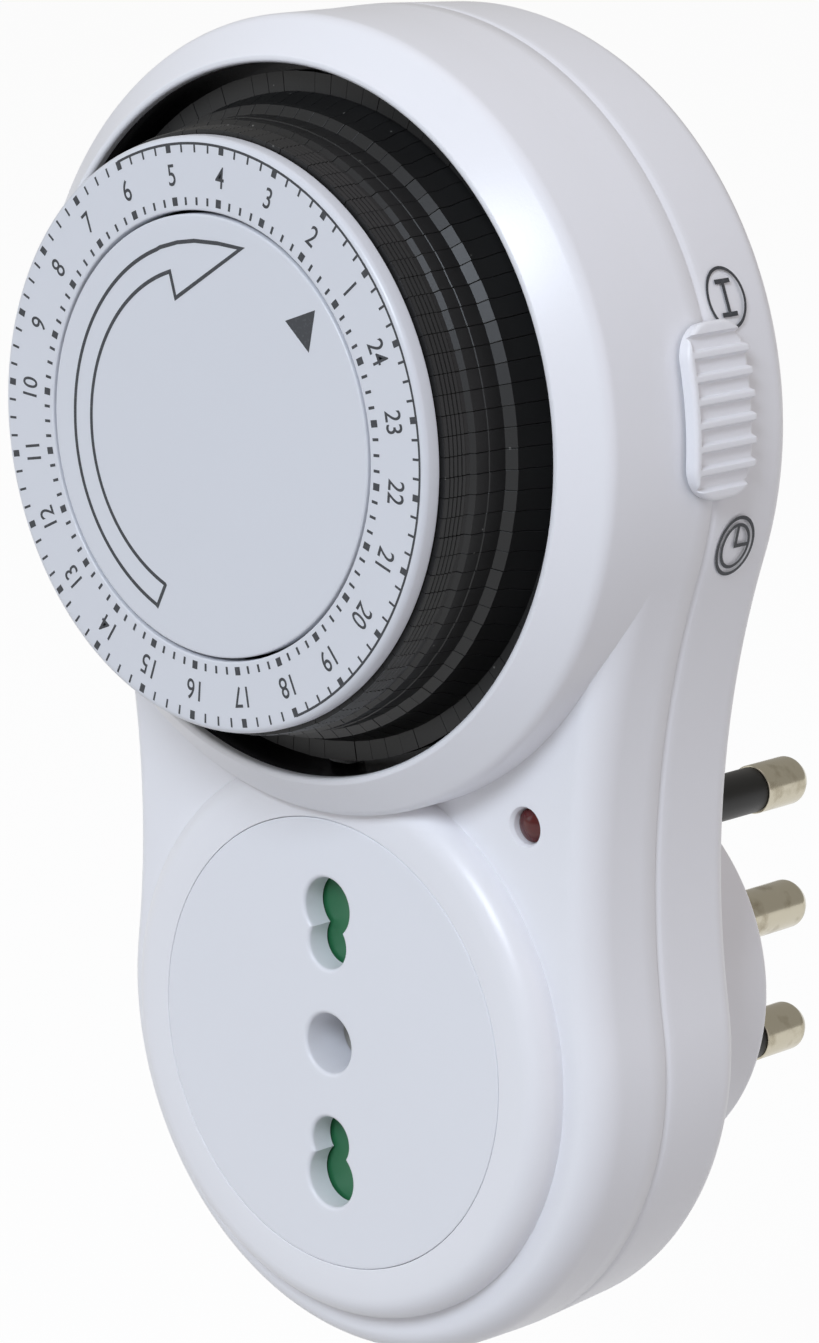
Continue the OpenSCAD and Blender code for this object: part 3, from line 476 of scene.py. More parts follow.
def make_piece(name: str, patches: list[Patch], finish: Material, replaces: str = "",
               body: str = "housing", sharp: float = 35.0, wall: float = 0.0) -> None:
    """Joins patches into one object in the model's frame and hangs it on a body.

    Args:
        name: The object's name.
        patches: Vertices in millimetres, and faces.
        finish: Its material.
        replaces: The node that it stands for, if any.
        body: Body that carries the piece.
        sharp: Angle in degrees above which an edge is drawn sharp, as open edges always are.
        wall: Thickness that an open sheet gets on its inner side.
    """
    starts = np.cumsum([0] + [len(v) for v, _ in patches])
    faces = [tuple(int(k + start) for k in f) for (_, fs), start in zip(patches, starts) for f in fs]
    mesh = bpy.data.meshes.new(name)
    mesh.from_pydata((np.concatenate([v for v, _ in patches]) * MM).tolist(), [], faces)
    work = bmesh.new()
    work.from_mesh(mesh)
    bmesh.ops.remove_doubles(work, verts=work.verts, dist=2e-6)
    bmesh.ops.recalc_face_normals(work, faces=work.faces)
    work.to_mesh(mesh)
    work.free()
    mesh.polygons.foreach_set("use_smooth", np.ones(len(mesh.polygons), bool))
    mesh.set_sharp_from_angle(angle=math.radians(sharp))
    uses, flags = np.empty(len(mesh.loops), np.int32), np.empty(len(mesh.edges), bool)
    mesh.loops.foreach_get("edge_index", uses)
    mesh.edges.foreach_get("use_edge_sharp", flags)
    mesh.edges.foreach_set("use_edge_sharp", flags | (np.bincount(uses, minlength=len(flags)) == 1))
    mesh.materials.append(finish)
    piece = bpy.data.objects.new(name, mesh)
    bpy.context.scene.collection.objects.link(piece)
    if wall:
        shell = piece.modifiers.new("wall", "SOLIDIFY")
        shell.thickness, shell.offset, shell.use_even_offset = wall * MM, -1.0, False
    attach(piece, body)
    if replaces:
        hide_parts(replaces)
    log.info("%s: %d faces on %s", name, len(mesh.polygons), body)


def dress(finish: Material, *nodes: str) -> None:
    """Gives carried-over nodes a finish in place of their plain one.

    Args:
        finish: The material.
        nodes: Names of the nodes.
    """
    for name in nodes:
        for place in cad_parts[name].material_slots:
            place.material = finish
        log.info("%s: dressed in %s", name, finish.name)


# ---- Sizes that several sub-assemblies share ----


@dataclass(frozen=True)
class Layout:
    """Depths along Y and axes that several sub-assemblies share, in millimetres.

    Attributes:
        part: Parting line between the two shells.
        front: Flat face of the lower body.
        inner: Inner side of that face.
        face: Face of the socket and its ring.
        bezel: Crest of the bezel.
        base: Floor of the well round the tappets.
        dial: Face of the dial.
        tappet: Front ends of the tappets.
        foot: Steps on which the tappets end.
        back: Flat sheet of the back.
        boss: Face of the plug boss.
        ink: How far a print stands off its face.
        axis: The dial's axis, as x and z.
        lens: The indicator's axis, as x and z.
    """

    part: float = -35.0
    front: float = -44.3
    inner: float = -42.3
    face: float = -47.3
    bezel: float = -51.7
    base: float = -44.1
    dial: float = -61.285
    tappet: float = -59.3
    foot: float = -48.1
    back: float = -23.6
    boss: float = -7.3
    ink: float = 0.012
    axis: Point = (0.0, 58.65)
    lens: Point = (22.1, 23.75)


def arc(centre: Point, r: float, angles: Array, sign: int, share: Array | float = 0.0) -> list[Array]:
    """One arc's points, its normals (towards its centre for a sign of -1), and its share of the extension."""
    return [polar(angles, r, centre), sign * polar(angles, 1.0), np.broadcast_to(share, angles.shape)]


@dataclass(frozen=True)
class Outline:
    """Seen from the front, the housing is two circles joined by hollow flanks, each an arc that touches both.

    Attributes:
        axis: Middle of the upper circle; the lower one's is the origin.
        lower_r: Radius of the lower end, round the socket axis.
        upper_r: Radius of the upper end, round the dial axis.
        flank_r: Radius of the hollow flanks.
    """

    axis: Point
    lower_r: float = 30.7
    upper_r: float = 36.4
    flank_r: float = 88.0

    def flank(self) -> Point:
        """Centre of the right flank's circle: it lies lower_r + flank_r and upper_r + flank_r from the two axes.

        Returns:
            Its x and z.
        """
        low, up, height = self.lower_r + self.flank_r, self.upper_r + self.flank_r, self.axis[1]
        z = (low**2 - up**2 + height**2) / (2 * height)
        return math.sqrt(low**2 - z**2), z

    def tangents(self) -> Point:
        """Angles at which the flank meets the lower and the upper circle, in degrees."""
        x, z = self.flank()
        return math.degrees(math.atan2(z, x)), math.degrees(math.atan2(self.axis[1] - z, x))

    def arcs(self, extension: float, cuts: tuple[float, ...] = ()) -> list[Array]:
        """The line from the upper circle down the left flank, round the lower end and up the right flank.

        Args:
            extension: How far the line runs on along the upper circle at each end, in degrees, or 360 to close it.
            cuts: Angles on the upper circle that get a point of their own in a closed line.

        Returns:
            Points (n, 2), outward normals (n, 2), and how far along the extension each point is, from 0 to 1.
        """
        (cx, cz), (low, up) = self.flank(), self.tangents()
        parts = [arc((-cx, cz), self.flank_r, np.linspace(up, -low, 41)[:-1], -1),
                 arc((0.0, 0.0), self.lower_r, np.linspace(180 - low, 360 + low, 181)[:-1], 1),
                 arc((cx, cz), self.flank_r, np.linspace(180 + low, 180 - up, 41)[:-1], -1)]
        if extension >= 180:
            angles = np.unique(np.concatenate([np.linspace(-up, 180 + up, 221)[:-1], cuts]))
            parts.append(arc(self.axis, self.upper_r, angles, 1))
        else:
            before, after = np.linspace(1, 0, 13)[:-1], np.linspace(0, 1, 13)
            parts.insert(0, arc(self.axis, self.upper_r, 180 + up - extension * before, 1, before))
            parts.append(arc(self.axis, self.upper_r, -up + extension * after, 1, after))
        return [np.concatenate(column) for column in zip(*parts)]


def loop_at(points: Array, normals: Array, inset: float | Array) -> Array:
    """An outline moved inwards: point minus normal times inset."""
    return points - normals * (inset if np.isscalar(inset) else np.asarray(inset)[:, None])


def band(points: Array, normals: Array, inset: Array, y: Array, wrap: bool) -> Patch:
    """A wall that follows an outline: point minus normal times inset, at depth y.

    Args:
        points: Outline points (n, 2).
        normals: Outward normals (n, 2).
        inset: Insets, shape (rows,) or (rows, n).
        y: Depths, shape (rows,) or (rows, n).
        wrap: The outline is closed.

    Returns:
        Vertices and faces.
    """
    inset, y = (np.broadcast_to(v[:, None] if v.ndim == 1 else v, (len(v), len(points))) for v in (inset, y))
    return grid(at_depth(points - normals * inset[..., None], y), wrap_cols=wrap)


# ---- Housing ----


@dataclass
class Housing:
    """The two shells: a flat lower body with a raised socket ring, a turned bezel and a back with the plug boss.

    Attributes:
        edge: Width of the front's rounded edge, which is edge_deep deep.
        edge_end: That width where the edge runs on under the bezel, by run_on degrees.
        rim_w: Width of the flat strip inside the edge.
        draft: Inset of the front's wall at the edge.
        back_draft: Inset of the back's wall at its own edge, which has the radius back_round.
        groove: Depth of the soft step at the parting line.
        slot_a: Half the angle of the selector's slot, which lies between the depths slot_y.
        slope: Depth of the bezel's sloping band, which meets the drum in a bend of the radius crease.
        lens_sink: Radius at which the lens's bush starts to sink, down to lens_hole.
        ledge_r: Radius inside the ledge that carries the socket insert.
        nose_rim: Inset at which the nose's flat cap starts.
        root: How far the nose reaches into the boss, whose draft widens it towards the back sheet.
        cup_r: Radius of a screw's recess, whose seat lies at the depth seat.
    """

    at: Layout
    outline: Outline
    shell: Material
    wall: float = 2.0
    edge: float = 2.4
    edge_deep: float = 3.6
    edge_end: float = 1.6
    run_on: float = 12.0
    rim_w: float = 0.3
    draft: float = 0.1
    back_draft: float = 0.4
    back_round: float = 2.8
    groove: float = 0.3
    slot_a: float = 7.15
    slot_y: tuple[float, float] = (-37.1, -33.3)
    opening_r: float = 32.15
    crest_r: float = 32.8
    slope: float = 3.2
    crease: float = 1.9
    drum_wall: float = 1.9
    lip_w: float = 0.95
    lip_h: float = 1.0
    lens_hole: float = 1.65
    lens_sink: float = 1.88
    lens_deep: float = 0.42
    lens_rim: float = 0.5
    ring_r: float = 26.6
    ring_round: float = 2.4
    ring_foot_r: float = 24.8
    ring_hole_r: float = 24.0
    insert_r: float = 21.45
    ledge_r: float = 20.1
    ledge_deep: float = 3.0
    boss_r: float = 20.2
    boss_round: float = 1.4
    boss_hole_r: float = 18.4
    nose_w: float = 12.0
    nose_l: float = 33.0
    nose_round: float = 0.7
    nose_rim: float = 1.0
    root: float = 0.5
    screws: tuple[Point, ...] = ((18.6, -14.6), (-18.6, -14.6), (10.09, 86.37), (-10.09, 86.37))
    screw_hole: float = 1.75
    cup_r: float = 3.4
    cup_wall: float = 0.8
    seat: float = -26.6

    def add(self, name: str, patches: list[Patch], replaces: str = "", wall: float = 0.0) -> None:
        """Makes one piece of the shells' plastic."""
        make_piece(name, patches, self.shell, replaces, wall=wall)

    def side(self, rows: list[Point], gap: tuple[float, float]) -> Patch:
        """The side wall as a band of (inset, depth) rows, without the faces where the selector's neck passes.

        Args:
            rows: Inset and depth of each line round the wall.
            gap: The two depths between which the slot lies.

        Returns:
            Vertices and faces.
        """
        points, normals, _ = self.outline.arcs(360, (-self.slot_a, self.slot_a))
        inset, y = np.array(rows).T
        verts, faces = band(points, normals, inset, y, True)
        x, z = (points - self.at.axis).T
        angle, mids = np.degrees(np.arctan2(z, x)), (y[1:] + y[:-1]) / 2
        open_col = (np.hypot(x, z) < self.outline.upper_r + NEAR) & (np.abs(angle + NEAR) < self.slot_a)
        open_row = (mids > min(gap)) & (mids < max(gap))
        closed = ~(open_row[:, None] & open_col).ravel()
        return verts, [f for f, k in zip(faces, closed.tolist()) if k]

    def front_sheet(self) -> list[Patch]:
        """The lower body's front: side wall, rounded edge and flat face with its openings.

        The edge is an ellipse: inset = draft + e (1 - sin t), depth = front + d (1 - cos t), t from 90 to 0 degrees,
        and e falls from edge to edge_end where the line runs on under the bezel.

        Returns:
            Vertices and faces of each part.
        """
        at, deep, slot = self.at, self.at.front + self.edge_deep, self.slot_y[0]
        side = self.side([(self.groove, at.part), (0.06, at.part - 0.02), (0.0, at.part - 0.12), (0.01, slot),
                          (self.draft, deep + 0.03), (self.draft, deep)], (slot, at.part))
        points, normals, share = self.outline.arcs(self.run_on)
        e = self.edge + (self.edge_end - self.edge) * ramp(share, 0, 1)
        t = np.radians(np.linspace(90, 0, 15))[:, None]
        inset = self.draft + e * (1 - np.sin(t))
        y = np.broadcast_to(at.front + self.edge_deep * (1 - np.cos(t)), inset.shape)
        flat = self.draft + e + self.rim_w * np.minimum(1, 4 * (1 - share))
        rounded = band(points, normals, np.vstack([inset, flat]), np.vstack([y, np.full(len(e), at.front)]), False)
        rim = loop_at(points, normals, flat)
        x, z = rim[-1] - at.axis
        end = math.degrees(math.atan2(z, x))
        closing = polar(np.linspace(end, -180 - end, 120)[1:-1], math.hypot(x, z), at.axis)
        holes = [circle(self.ring_hole_r), circle(self.lens_sink + self.lens_rim, 7.5, at.lens)]
        return [side, rounded, flat_region([np.concatenate([rim, closing]), *holes], at.front)]

    def bezel(self) -> Patch:
        """The turned bezel: a drum, a band that slopes up to a crest, a narrow lip, and a wall behind the lip.

        Returns:
            Vertices and faces.
        """
        y, foot, base, lip = self.at.bezel, self.at.front + self.edge_deep, self.at.base, self.at.bezel + self.lip_h
        side, inner = self.outline.upper_r - self.draft, self.opening_r + self.lip_w
        return turned(filleted([
            (side - self.drum_wall, foot, 0), (side, foot, 0), (side, y + self.slope, self.crease),
            (self.crest_r, y, 0.3), (self.opening_r, y, 0.38), (self.opening_r, lip, 0.12), (inner, lip, 0),
            (inner, base, 0), (side - self.drum_wall, base, 0)], 8), self.at.axis, 240)

    def lens_seat(self) -> Patch:
        """The bush round the lens: a cone from the face down to the hole, with a thin rim.

        Returns:
            Vertices and faces.
        """
        y, inner, hole, sink = self.at.front, self.at.inner, self.lens_hole, self.lens_sink
        outer = sink + self.lens_rim
        return turned(filleted([(outer, y, 0), (sink, y, 0.06), (hole, y + self.lens_deep, 0.05), (hole, inner, 0),
                                (outer, inner, 0)], 4), self.at.lens, 48)

    def ring(self) -> Patch:
        """The raised ring round the socket, with the ledge that the insert lies on."""
        y, inner, ledge = self.at.face, self.at.inner, self.at.face + self.ledge_deep
        return turned(filleted([
            (self.ring_r, self.at.front + 1.2, 0), (self.ring_r, y, self.ring_round), (self.insert_r, y, 0.1),
            (self.insert_r, ledge, 0), (self.ledge_r, ledge, 0), (self.ledge_r, inner, 0),
            (self.ring_foot_r, inner, 0)], 9), steps=240)

    def build_front(self) -> None:
        """Builds the front shell: its sheet, bezel, socket ring and the seat of the lens."""
        self.add("front_housing", self.front_sheet(), "front_shell", self.wall)
        self.add("bezel_drum", [self.bezel()])
        self.add("socket_ring", [self.ring()])
        self.add("lens_seat", [self.lens_seat()])

    def back_sheet(self) -> list[Patch]:
        """The back: side wall, quarter-round edge, flat back with openings for the boss and the four screws.

        Returns:
            Vertices and faces of each part.
        """
        at, r = self.at, self.back_round
        t = np.radians(np.linspace(0, 90, 10))
        rounded = np.stack([self.back_draft + r * (1 - np.cos(t)), at.back - r * (1 - np.sin(t))], -1).tolist()
        rows = [(self.groove, at.part), (self.groove - 0.06, at.part + 0.3), (0.1, at.part + 0.7),
                (0.06, at.part + 1.0), (0.085, self.slot_y[1]), *rounded, (rounded[-1][0] + 0.05, at.back)]
        points, normals, _ = self.outline.arcs(360, (-self.slot_a, self.slot_a))
        holes = [circle(self.boss_hole_r), *(circle(self.cup_r + 0.03, 10.0, p) for p in self.screws)]
        return [self.side(rows, (at.part, self.slot_y[1])),
                flat_region([loop_at(points, normals, rows[-1][0]), *holes], at.back)]

    def screw_cups(self) -> list[Patch]:
        """The turned recesses in the back: wall, seat under the screw's head, and the start of its hole.

        Returns:
            Vertices and faces of each part.
        """
        r, hole, seat, y, wall = self.cup_r, self.screw_hole, self.seat, self.at.back - 0.02, self.cup_wall
        cup = filleted([(r, y, 0), (r, seat, 0.1), (hole, seat, 0), (hole, seat - 1.5, 0), (hole + 0.85, seat - 1.5, 0),
                        (r + wall, seat - wall, 0), (r + wall, y - 1.0, 0), (r + 0.3, y, 0)], 4)
        return [turned(cup, p, 36) for p in self.screws]

    def boss(self) -> Patch:
        """The round plug boss, a touch wider towards the back sheet that it stands on."""
        r, y, back, root = self.boss_r, self.at.boss, self.at.back, self.at.back - 1.5
        return turned(filleted([(0, root, 0), (r + 0.7, root, 0), (r + 0.35, back, 0), (r + 0.15, y - 1.4, 0),
                                (r, y, self.boss_round), (0, y, 0)], 9), steps=200)

    def nose(self) -> list[Patch]:
        """The nose that the pins stand on: a wall with round ends and a quarter-round edge, its cap and its root.

        Returns:
            Vertices and faces of each part.
        """
        root, half = self.at.boss - self.root, (self.nose_l - self.nose_w) / 2
        t, s = np.linspace(0, np.pi, 40), np.radians(np.linspace(0, 90, 7))
        end = np.stack([np.cos(t), np.sin(t)], -1)
        upper = self.nose_w / 2 * end + (0.0, half)
        points, normals = np.concatenate([upper, -upper]), np.concatenate([end, -end])
        inset = np.concatenate([[0.0], self.nose_round * (1 - np.cos(s)), [self.nose_rim]])
        y = np.concatenate([[root], -self.nose_round * (1 - np.sin(s)), [0.0]])
        cap = flat_region([loop_at(points, normals, self.nose_rim)], 0.0)
        return [band(points, normals, inset, y, True), cap, flat_region([points], root)]

    def build_back(self) -> None:
        """Builds the rear shell: its sheet, the screws' recesses, the round boss and the nose."""
        self.add("rear_housing", self.back_sheet(), "rear_shell", self.wall)
        self.add("screw_cups", self.screw_cups())
        self.add("plug_boss", [self.boss()])
        self.add("plug_nose", self.nose())


# ---- Socket ----


@dataclass
class Socket:
    """The socket insert: a disc with an earth hole and two pairs of holes that run into each other.

    Attributes:
        floor: Depth of the floor of the shutter's pocket.
        collar_r: Radius of the collar round the earth hole, inside the pocket.
        hole5: Radius of a hole for 5 mm pins, at pitch5 from the middle.
        hole4: Radius of a hole for 4 mm pins, at pitch4 from the middle.
        edge: Radius of the holes' rounded rims, outside which a flat strip of strip_w belongs to the hole.
        pocket_sides: Distances of the pocket's left, right and upper side from the middle.
        back_r: Radius of the insert behind its rim, which is rim_deep deep.
    """

    at: Layout
    skin: Material
    radius: float = 21.4
    floor: float = -44.8
    collar_r: float = 3.65
    hole5: float = 2.85
    hole4: float = 2.35
    pitch5: float = 13.0
    pitch4: float = 9.5
    edge: float = 0.4
    strip_w: float = 0.25
    pocket_r: float = 19.3
    pocket_sides: tuple[float, float, float] = (12.05, 14.05, 17.75)
    back_r: float = 20.0
    rim_w: float = 0.5
    rim_deep: float = 3.0

    def hole(self, side: int, extra: float = 0.0) -> Array:
        """The outline of the earth hole, or of a pair: a 5 mm and a 4 mm hole that run into each other.

        Each circle's arc of a pair runs between the two points where the circles cross, which lie
        a = (d^2 + r5^2 - r4^2) / 2d from the larger one's centre and h = sqrt(r5^2 - a^2) to either side.

        Args:
            side: 0 for the earth hole, 1 for the upper pair, -1 for the lower one.
            extra: How much larger than the hole the outline is.

        Returns:
            Points of shape (n, 2).
        """
        r5, r4, d = self.hole5 + extra, self.hole4 + extra, self.pitch5 - self.pitch4
        if side == 0:
            return circle(r5, 5.0)
        a = (d * d + r5 * r5 - r4 * r4) / (2 * d)
        h = math.sqrt(r5 * r5 - a * a)
        t5, t4 = math.degrees(math.atan2(-a, h)), math.degrees(math.atan2(d - a, h))
        large = polar(np.linspace(t5, 180 - t5, 40)[:-1], r5, (0.0, self.pitch5))
        small = polar(np.linspace(180 - t4, 360 + t4, 34)[:-1], r4, (0.0, self.pitch4))
        return side * np.concatenate([large, small])

    def pocket(self) -> Array:
        """The outline of the shutter's pocket: a disc cut by a rectangle.

        Seen from the middle, each side of the rectangle lies its distance over the cosine away, and the outline
        is the nearest of them and the circle. The corners get a point of their own.

        Returns:
            Points of shape (n, 2).
        """
        r, (left, right, top) = self.pocket_r, self.pocket_sides
        upper = math.asin(top / r)
        a = np.degrees([math.acos(right / r), upper, math.pi - upper, math.pi - math.acos(left / r)])
        t = np.unique(np.concatenate([np.arange(-180, 180, 3.0), a, -a]))
        c, d = np.cos(np.radians(t)), np.abs(np.sin(np.radians(t)))
        near = np.minimum(np.where(c > 0, right, left) / np.maximum(np.abs(c), 1e-9), top / np.maximum(d, 1e-9))
        return polar(t, np.minimum(near, r))

    def build(self) -> None:
        """Builds the insert: rounded rims round the holes, a stepped edge, and the shutter's pocket behind a wall."""
        at, inner, flange = self.at, self.at.inner, self.at.face + self.rim_deep
        s = np.radians(np.linspace(0, 90, 7))
        extra = np.concatenate([[self.edge + self.strip_w], self.edge * (1 - np.sin(s)), [0.0]]).tolist()
        rounded = at.face + self.edge * (1 - np.cos(s))
        patches = []
        for side, end in ((0, inner), (1, self.floor), (-1, self.floor)):
            rings, depth = np.stack([self.hole(side, e) for e in extra]), np.concatenate([[at.face], rounded, [end]])
            patches.append(grid(at_depth(rings, depth[:, None]), wrap_cols=True))
        pocket, collar = self.pocket(), circle(self.collar_r, 5.0)
        wide = [self.hole(side, extra[0]) for side in (0, 1, -1)]
        patches += [flat_region([circle(self.radius - self.rim_w), *wide], at.face),
                    flat_region([circle(self.back_r), pocket, collar, self.hole(0)], inner),
                    flat_region([pocket, collar, self.hole(1), self.hole(-1)], self.floor)]
        ends = np.array([[self.floor], [inner]])
        patches += [grid(at_depth(np.stack([line, line]), ends), wrap_cols=True) for line in (pocket, collar)]
        step = filleted([(self.radius - self.rim_w, at.face, 0), (self.radius, at.face, 0.1), (self.radius, flange, 0),
                         (self.back_r, flange, 0), (self.back_r, inner, 0)], 5, closed=False)
        make_piece("socket_face", [*patches, turned(step, closed=False)], self.skin, "socket_insert")


# ---- Dial ----


@dataclass
class Dial:
    """The turning ring with its hours, the fixed disc with its arrow and pointer, and the tappets.

    Attributes:
        ring_r: Outer radius of the ring, which is ring_t thick and has the bore bore_r.
        disc_r: Radius of the disc, which is disc_t thick.
        hub_r: Radius of the disc's hub, which is hub_l long with the disc.
        first_hour: Angle of hour 24, in degrees.
        tappets: Number of tappets, one for each quarter of an hour.
        own: How many of them have a body of their own.
        first: Angle of the first tappet.
        slit: Half the gap between two tappets, in degrees.
        tappet_in: Inner radius of a tappet.
        marks: For the outer and the inner marks, the radius where they start, those where the hours' and the quarters'
            marks end, and the widths of both.
        night_r: Radii between which the line of painted shade lies, a dark print along the half of the rim that faces
            the camera.
        number_r: Radius of the numbers' middle; they are number_h high and number_w of their typeface's width.
        arrow_w: Width of the arrow's line.
        seed: Start of the random draws.
    """

    at: Layout
    skin: Material
    ink: Material
    black: Material
    ring_r: float = 26.5
    bore_r: float = 20.0
    ring_t: float = 1.8
    disc_r: float = 19.7
    disc_t: float = 1.5
    hub_r: float = 3.0
    hub_l: float = 2.7
    first_hour: float = 24.29
    tappets: int = 96
    own: int = 20
    first: float = -33.835
    slit: float = 0.05
    tappet_in: float = 25.95
    marks: tuple[tuple[float, Point, Point], ...] = (
        (25.9, (25.1, 25.05), (0.6, 0.22)), (20.45, (21.2, 21.15), (0.64, 0.26)))
    night_r: Point = (25.72, 25.95)
    number_r: float = 23.15
    number_h: float = 1.9
    number_w: float = 0.82
    arrow_w: float = 0.36
    seed: int = 7

    @property
    def step(self) -> float:
        """Angle between two tappets, and between two quarters of an hour, in degrees."""
        return 360 / self.tappets

    def printed(self, flat: Array, proud: float = 0.0) -> Array:
        """Points (x, z) of a print on the dial's face, which may stand prouder than the others."""
        return at_depth(flat, self.at.dial - self.at.ink - proud)

    def build_ring(self) -> None:
        """Builds the ring, whose outer rim is rounded over and whose inner one has a small radius."""
        y, behind = self.at.dial, self.at.dial + self.ring_t
        profile = filleted([(self.ring_r, y, 0.6), (self.ring_r, behind, 0.15), (self.bore_r, behind, 0),
                            (self.bore_r, y, 0.18), (self.bore_r + 0.5, y, 0), (self.ring_r - 1.2, y, 0)], 7)
        make_piece("hour_ring", [turned(profile, self.at.axis, 240)], self.skin, "dial_ring", "dial")

    def build_disc(self) -> None:
        """Builds the fixed disc in the middle, on its hub."""
        y, behind, end = self.at.dial, self.at.dial + self.disc_t, self.at.dial + self.hub_l
        profile = filleted([(0, y, 0), (self.disc_r - 0.6, y, 0), (self.disc_r, y, 0.2), (self.disc_r, behind, 0),
                            (self.hub_r, behind, 0), (self.hub_r, end, 0), (0, end, 0)], 6)
        make_piece("middle_disc", [turned(profile, self.at.axis, 200)], self.skin, "centre_disc")

    def mark(self, a: Array, r0: float, r1: Array, width: Array) -> Patch:
        """Short radial bars: each runs from r0 to r1 at angle a, and keeps its width.

        Args:
            a: Angles in degrees.
            r0: Radius where all start.
            r1: Radius where each ends.
            width: Width of each.

        Returns:
            Vertices and faces.
        """
        t = np.radians(a)[:, None]
        along, across = np.stack([np.cos(t), np.sin(t)], -1), np.stack([-np.sin(t), np.cos(t)], -1)
        r, w = np.stack([np.broadcast_to(r0, a.shape), r1], -1)[..., None], width[:, None, None] / 2
        left, right = along * r + across * w, along * r - across * w
        quads = np.concatenate([left, right[:, ::-1]], 1) + self.at.axis
        return self.printed(quads).reshape(-1, 3), [tuple(q) for q in np.arange(4 * len(a)).reshape(-1, 4).tolist()]

    def number(self, hour: int) -> Patch:
        """The number of an hour, whose foot points to the dial's axis, as a flat mesh.

        Args:
            hour: The hour from 0 to 23, where 0 is written as 24.

        Returns:
            Vertices and faces.
        """
        curve = bpy.data.curves.new("digits", "FONT")
        curve.body, curve.align_x, curve.align_y = str(hour or 24), "CENTER", "CENTER"
        curve.space_character, curve.offset = 1.02, 0.006
        holder = bpy.data.objects.new("digits", curve)
        bpy.context.scene.collection.objects.link(holder)
        bpy.context.view_layer.update()
        mesh = bpy.data.meshes.new_from_object(holder.evaluated_get(bpy.context.evaluated_depsgraph_get()))
        co = np.empty(len(mesh.vertices) * 3)
        mesh.vertices.foreach_get("co", co)
        flat, faces = co.reshape(-1, 3)[:, :2], [tuple(p.vertices) for p in mesh.polygons]
        bpy.data.objects.remove(holder)
        bpy.data.meshes.remove(mesh)
        low, high = flat.min(0), flat.max(0)
        flat = (flat - (low + high) / 2) * self.number_h / (high[1] - low[1]) * np.array([self.number_w, 1.0])
        t = math.radians(self.first_hour + 4 * self.step * hour)
        up, right = np.array([math.cos(t), math.sin(t)]), np.array([math.sin(t), -math.cos(t)])
        middle = np.array(self.at.axis) + up * self.number_r
        return self.printed(middle + flat[:, :1] * right + flat[:, 1:] * up), faces

    def build_prints(self) -> None:
        """Prints the ring: quarter-hour marks on both edges, thick at the hours, the numbers, and a dark line of
        painted shade along the rim.
        """
        quarter = np.arange(self.tappets)
        a, hour = self.first_hour + quarter * self.step, quarter % 4 == 0
        marks = [self.mark(a, start, np.where(hour, *ends), np.where(hour, *widths))
                 for start, ends, widths in self.marks]
        # Painted shade: a dark line printed along the outer rim only over the half that faces the camera, where the
        # rim's edge is seen in shade
        turn = np.linspace(self.first_hour - 90, self.first_hour + 90, 160)
        rim_shade = grid(self.printed(np.stack([polar(turn, r, self.at.axis) for r in self.night_r]), 0.001))
        make_piece("hour_marks", [*marks, rim_shade], self.ink, body="dial")
        make_piece("hour_numbers", [self.number(h) for h in range(24)], self.ink, body="dial")

    def sweep(self, start: float, end: float, radii: tuple[float, float, float]) -> Array:
        """Points round the disc from one angle to another, with the radius at both ends and halfway."""
        halves = [np.linspace(radii[k], radii[k + 1], 35) for k in (0, 1)]
        return polar(np.linspace(start, end, 70), np.concatenate(halves))

    def build_arrow(self) -> None:
        """Prints the disc: a hollow arrow round its left side, and a solid pointer."""
        outer, inner = self.sweep(246.5, 110, (17.3, 17.05, 17.2)), self.sweep(108, 247.5, (14.95, 14.9, 15.0))
        head = [(-5.41, 16.4), (-3.2, 17.0), (-1.07, 17.3), (1.9, 17.3), (4.78, 17.06), (-3.57, 12.05), (-4.23, 14.35)]
        line = np.concatenate([[(-6.76, -15.98)], outer, head, inner, [(-5.69, -13.94)]]) + self.at.axis
        sides, closed = stroke(line, self.arrow_w)
        tip = np.array([(10.05, 11.24), (13.71, 12.48), (12.87, 8.72)]) + self.at.axis
        patches = [grid(self.printed(sides), wrap_cols=closed), (self.printed(tip), [(0, 1, 2)])]
        make_piece("turn_arrow", patches, self.ink)

    def tappet(self, number: int, lift: Array) -> Patch:
        """One tappet: its ridged, stepped profile carried round its share of the turn, with its edges broken.

        Its front is finely ridged: at each 0.24 mm the radius is 26.9 + 0.015 k, and 0.1 more for each odd k.

        Args:
            number: Place on the dial, from 0.
            lift: How far it stands out and forward of the others.

        Returns:
            Vertices and faces.
        """
        y, foot, k = self.at.tappet, self.at.foot, np.arange(10)
        ridges = np.stack([26.9 + 0.015 * k + 0.1 * (k % 2), y + 0.16 + 0.24 * k], -1)
        steps = [(27.0, y + 2.5), (27.05, y + 2.95), (27.45, y + 3.35), (27.5, y + 4.85), (27.58, y + 4.91),
                 (27.68, y + 6.75), (28.5, y + 7.45), (28.6, y + 8.8), (29.2, y + 10.2), (29.4, foot), (31.2, foot),
                 (31.2, foot + 1.5), (self.tappet_in, foot + 1.5), (self.tappet_in, y)]
        profile = np.concatenate([[(26.9, y)], ridges, steps]) + lift
        profile[-2:, 0] -= lift[0]
        half, ease, n = self.step / 2 - self.slit, 0.07, len(profile)
        a = self.first + self.step * number + np.array([-half, -half + ease, half - ease, half])
        r = profile[:, 0] - np.array([0.03, 0, 0, 0.03])[:, None] * (np.arange(n) < n - 2)
        verts, faces = grid(at_depth(polar(a[:, None], r, self.at.axis), profile[:, 1]), wrap_cols=True)
        return verts, faces + [tuple(range(n)), tuple(range(3 * n, 4 * n))]

    def build_tappets(self) -> None:
        """Builds the tappets: the first ones each on its own body, the others as one piece on the dial."""
        rng = np.random.default_rng(self.seed)
        lifts = np.stack([rng.uniform(-0.025, 0.025, self.tappets), rng.uniform(-0.04, 0.04, self.tappets)], -1)
        made = [self.tappet(i, lift) for i, lift in enumerate(lifts)]
        for i in range(self.own):
            node = f"tappet_{i + 1:02d}"
            make_piece(f"segment_{i + 1:02d}", [made[i]], self.black, node, node, sharp=25)
        make_piece("segments", made[self.own:], self.black, "other_tappets", "dial", sharp=25)


# ---- Selector ----


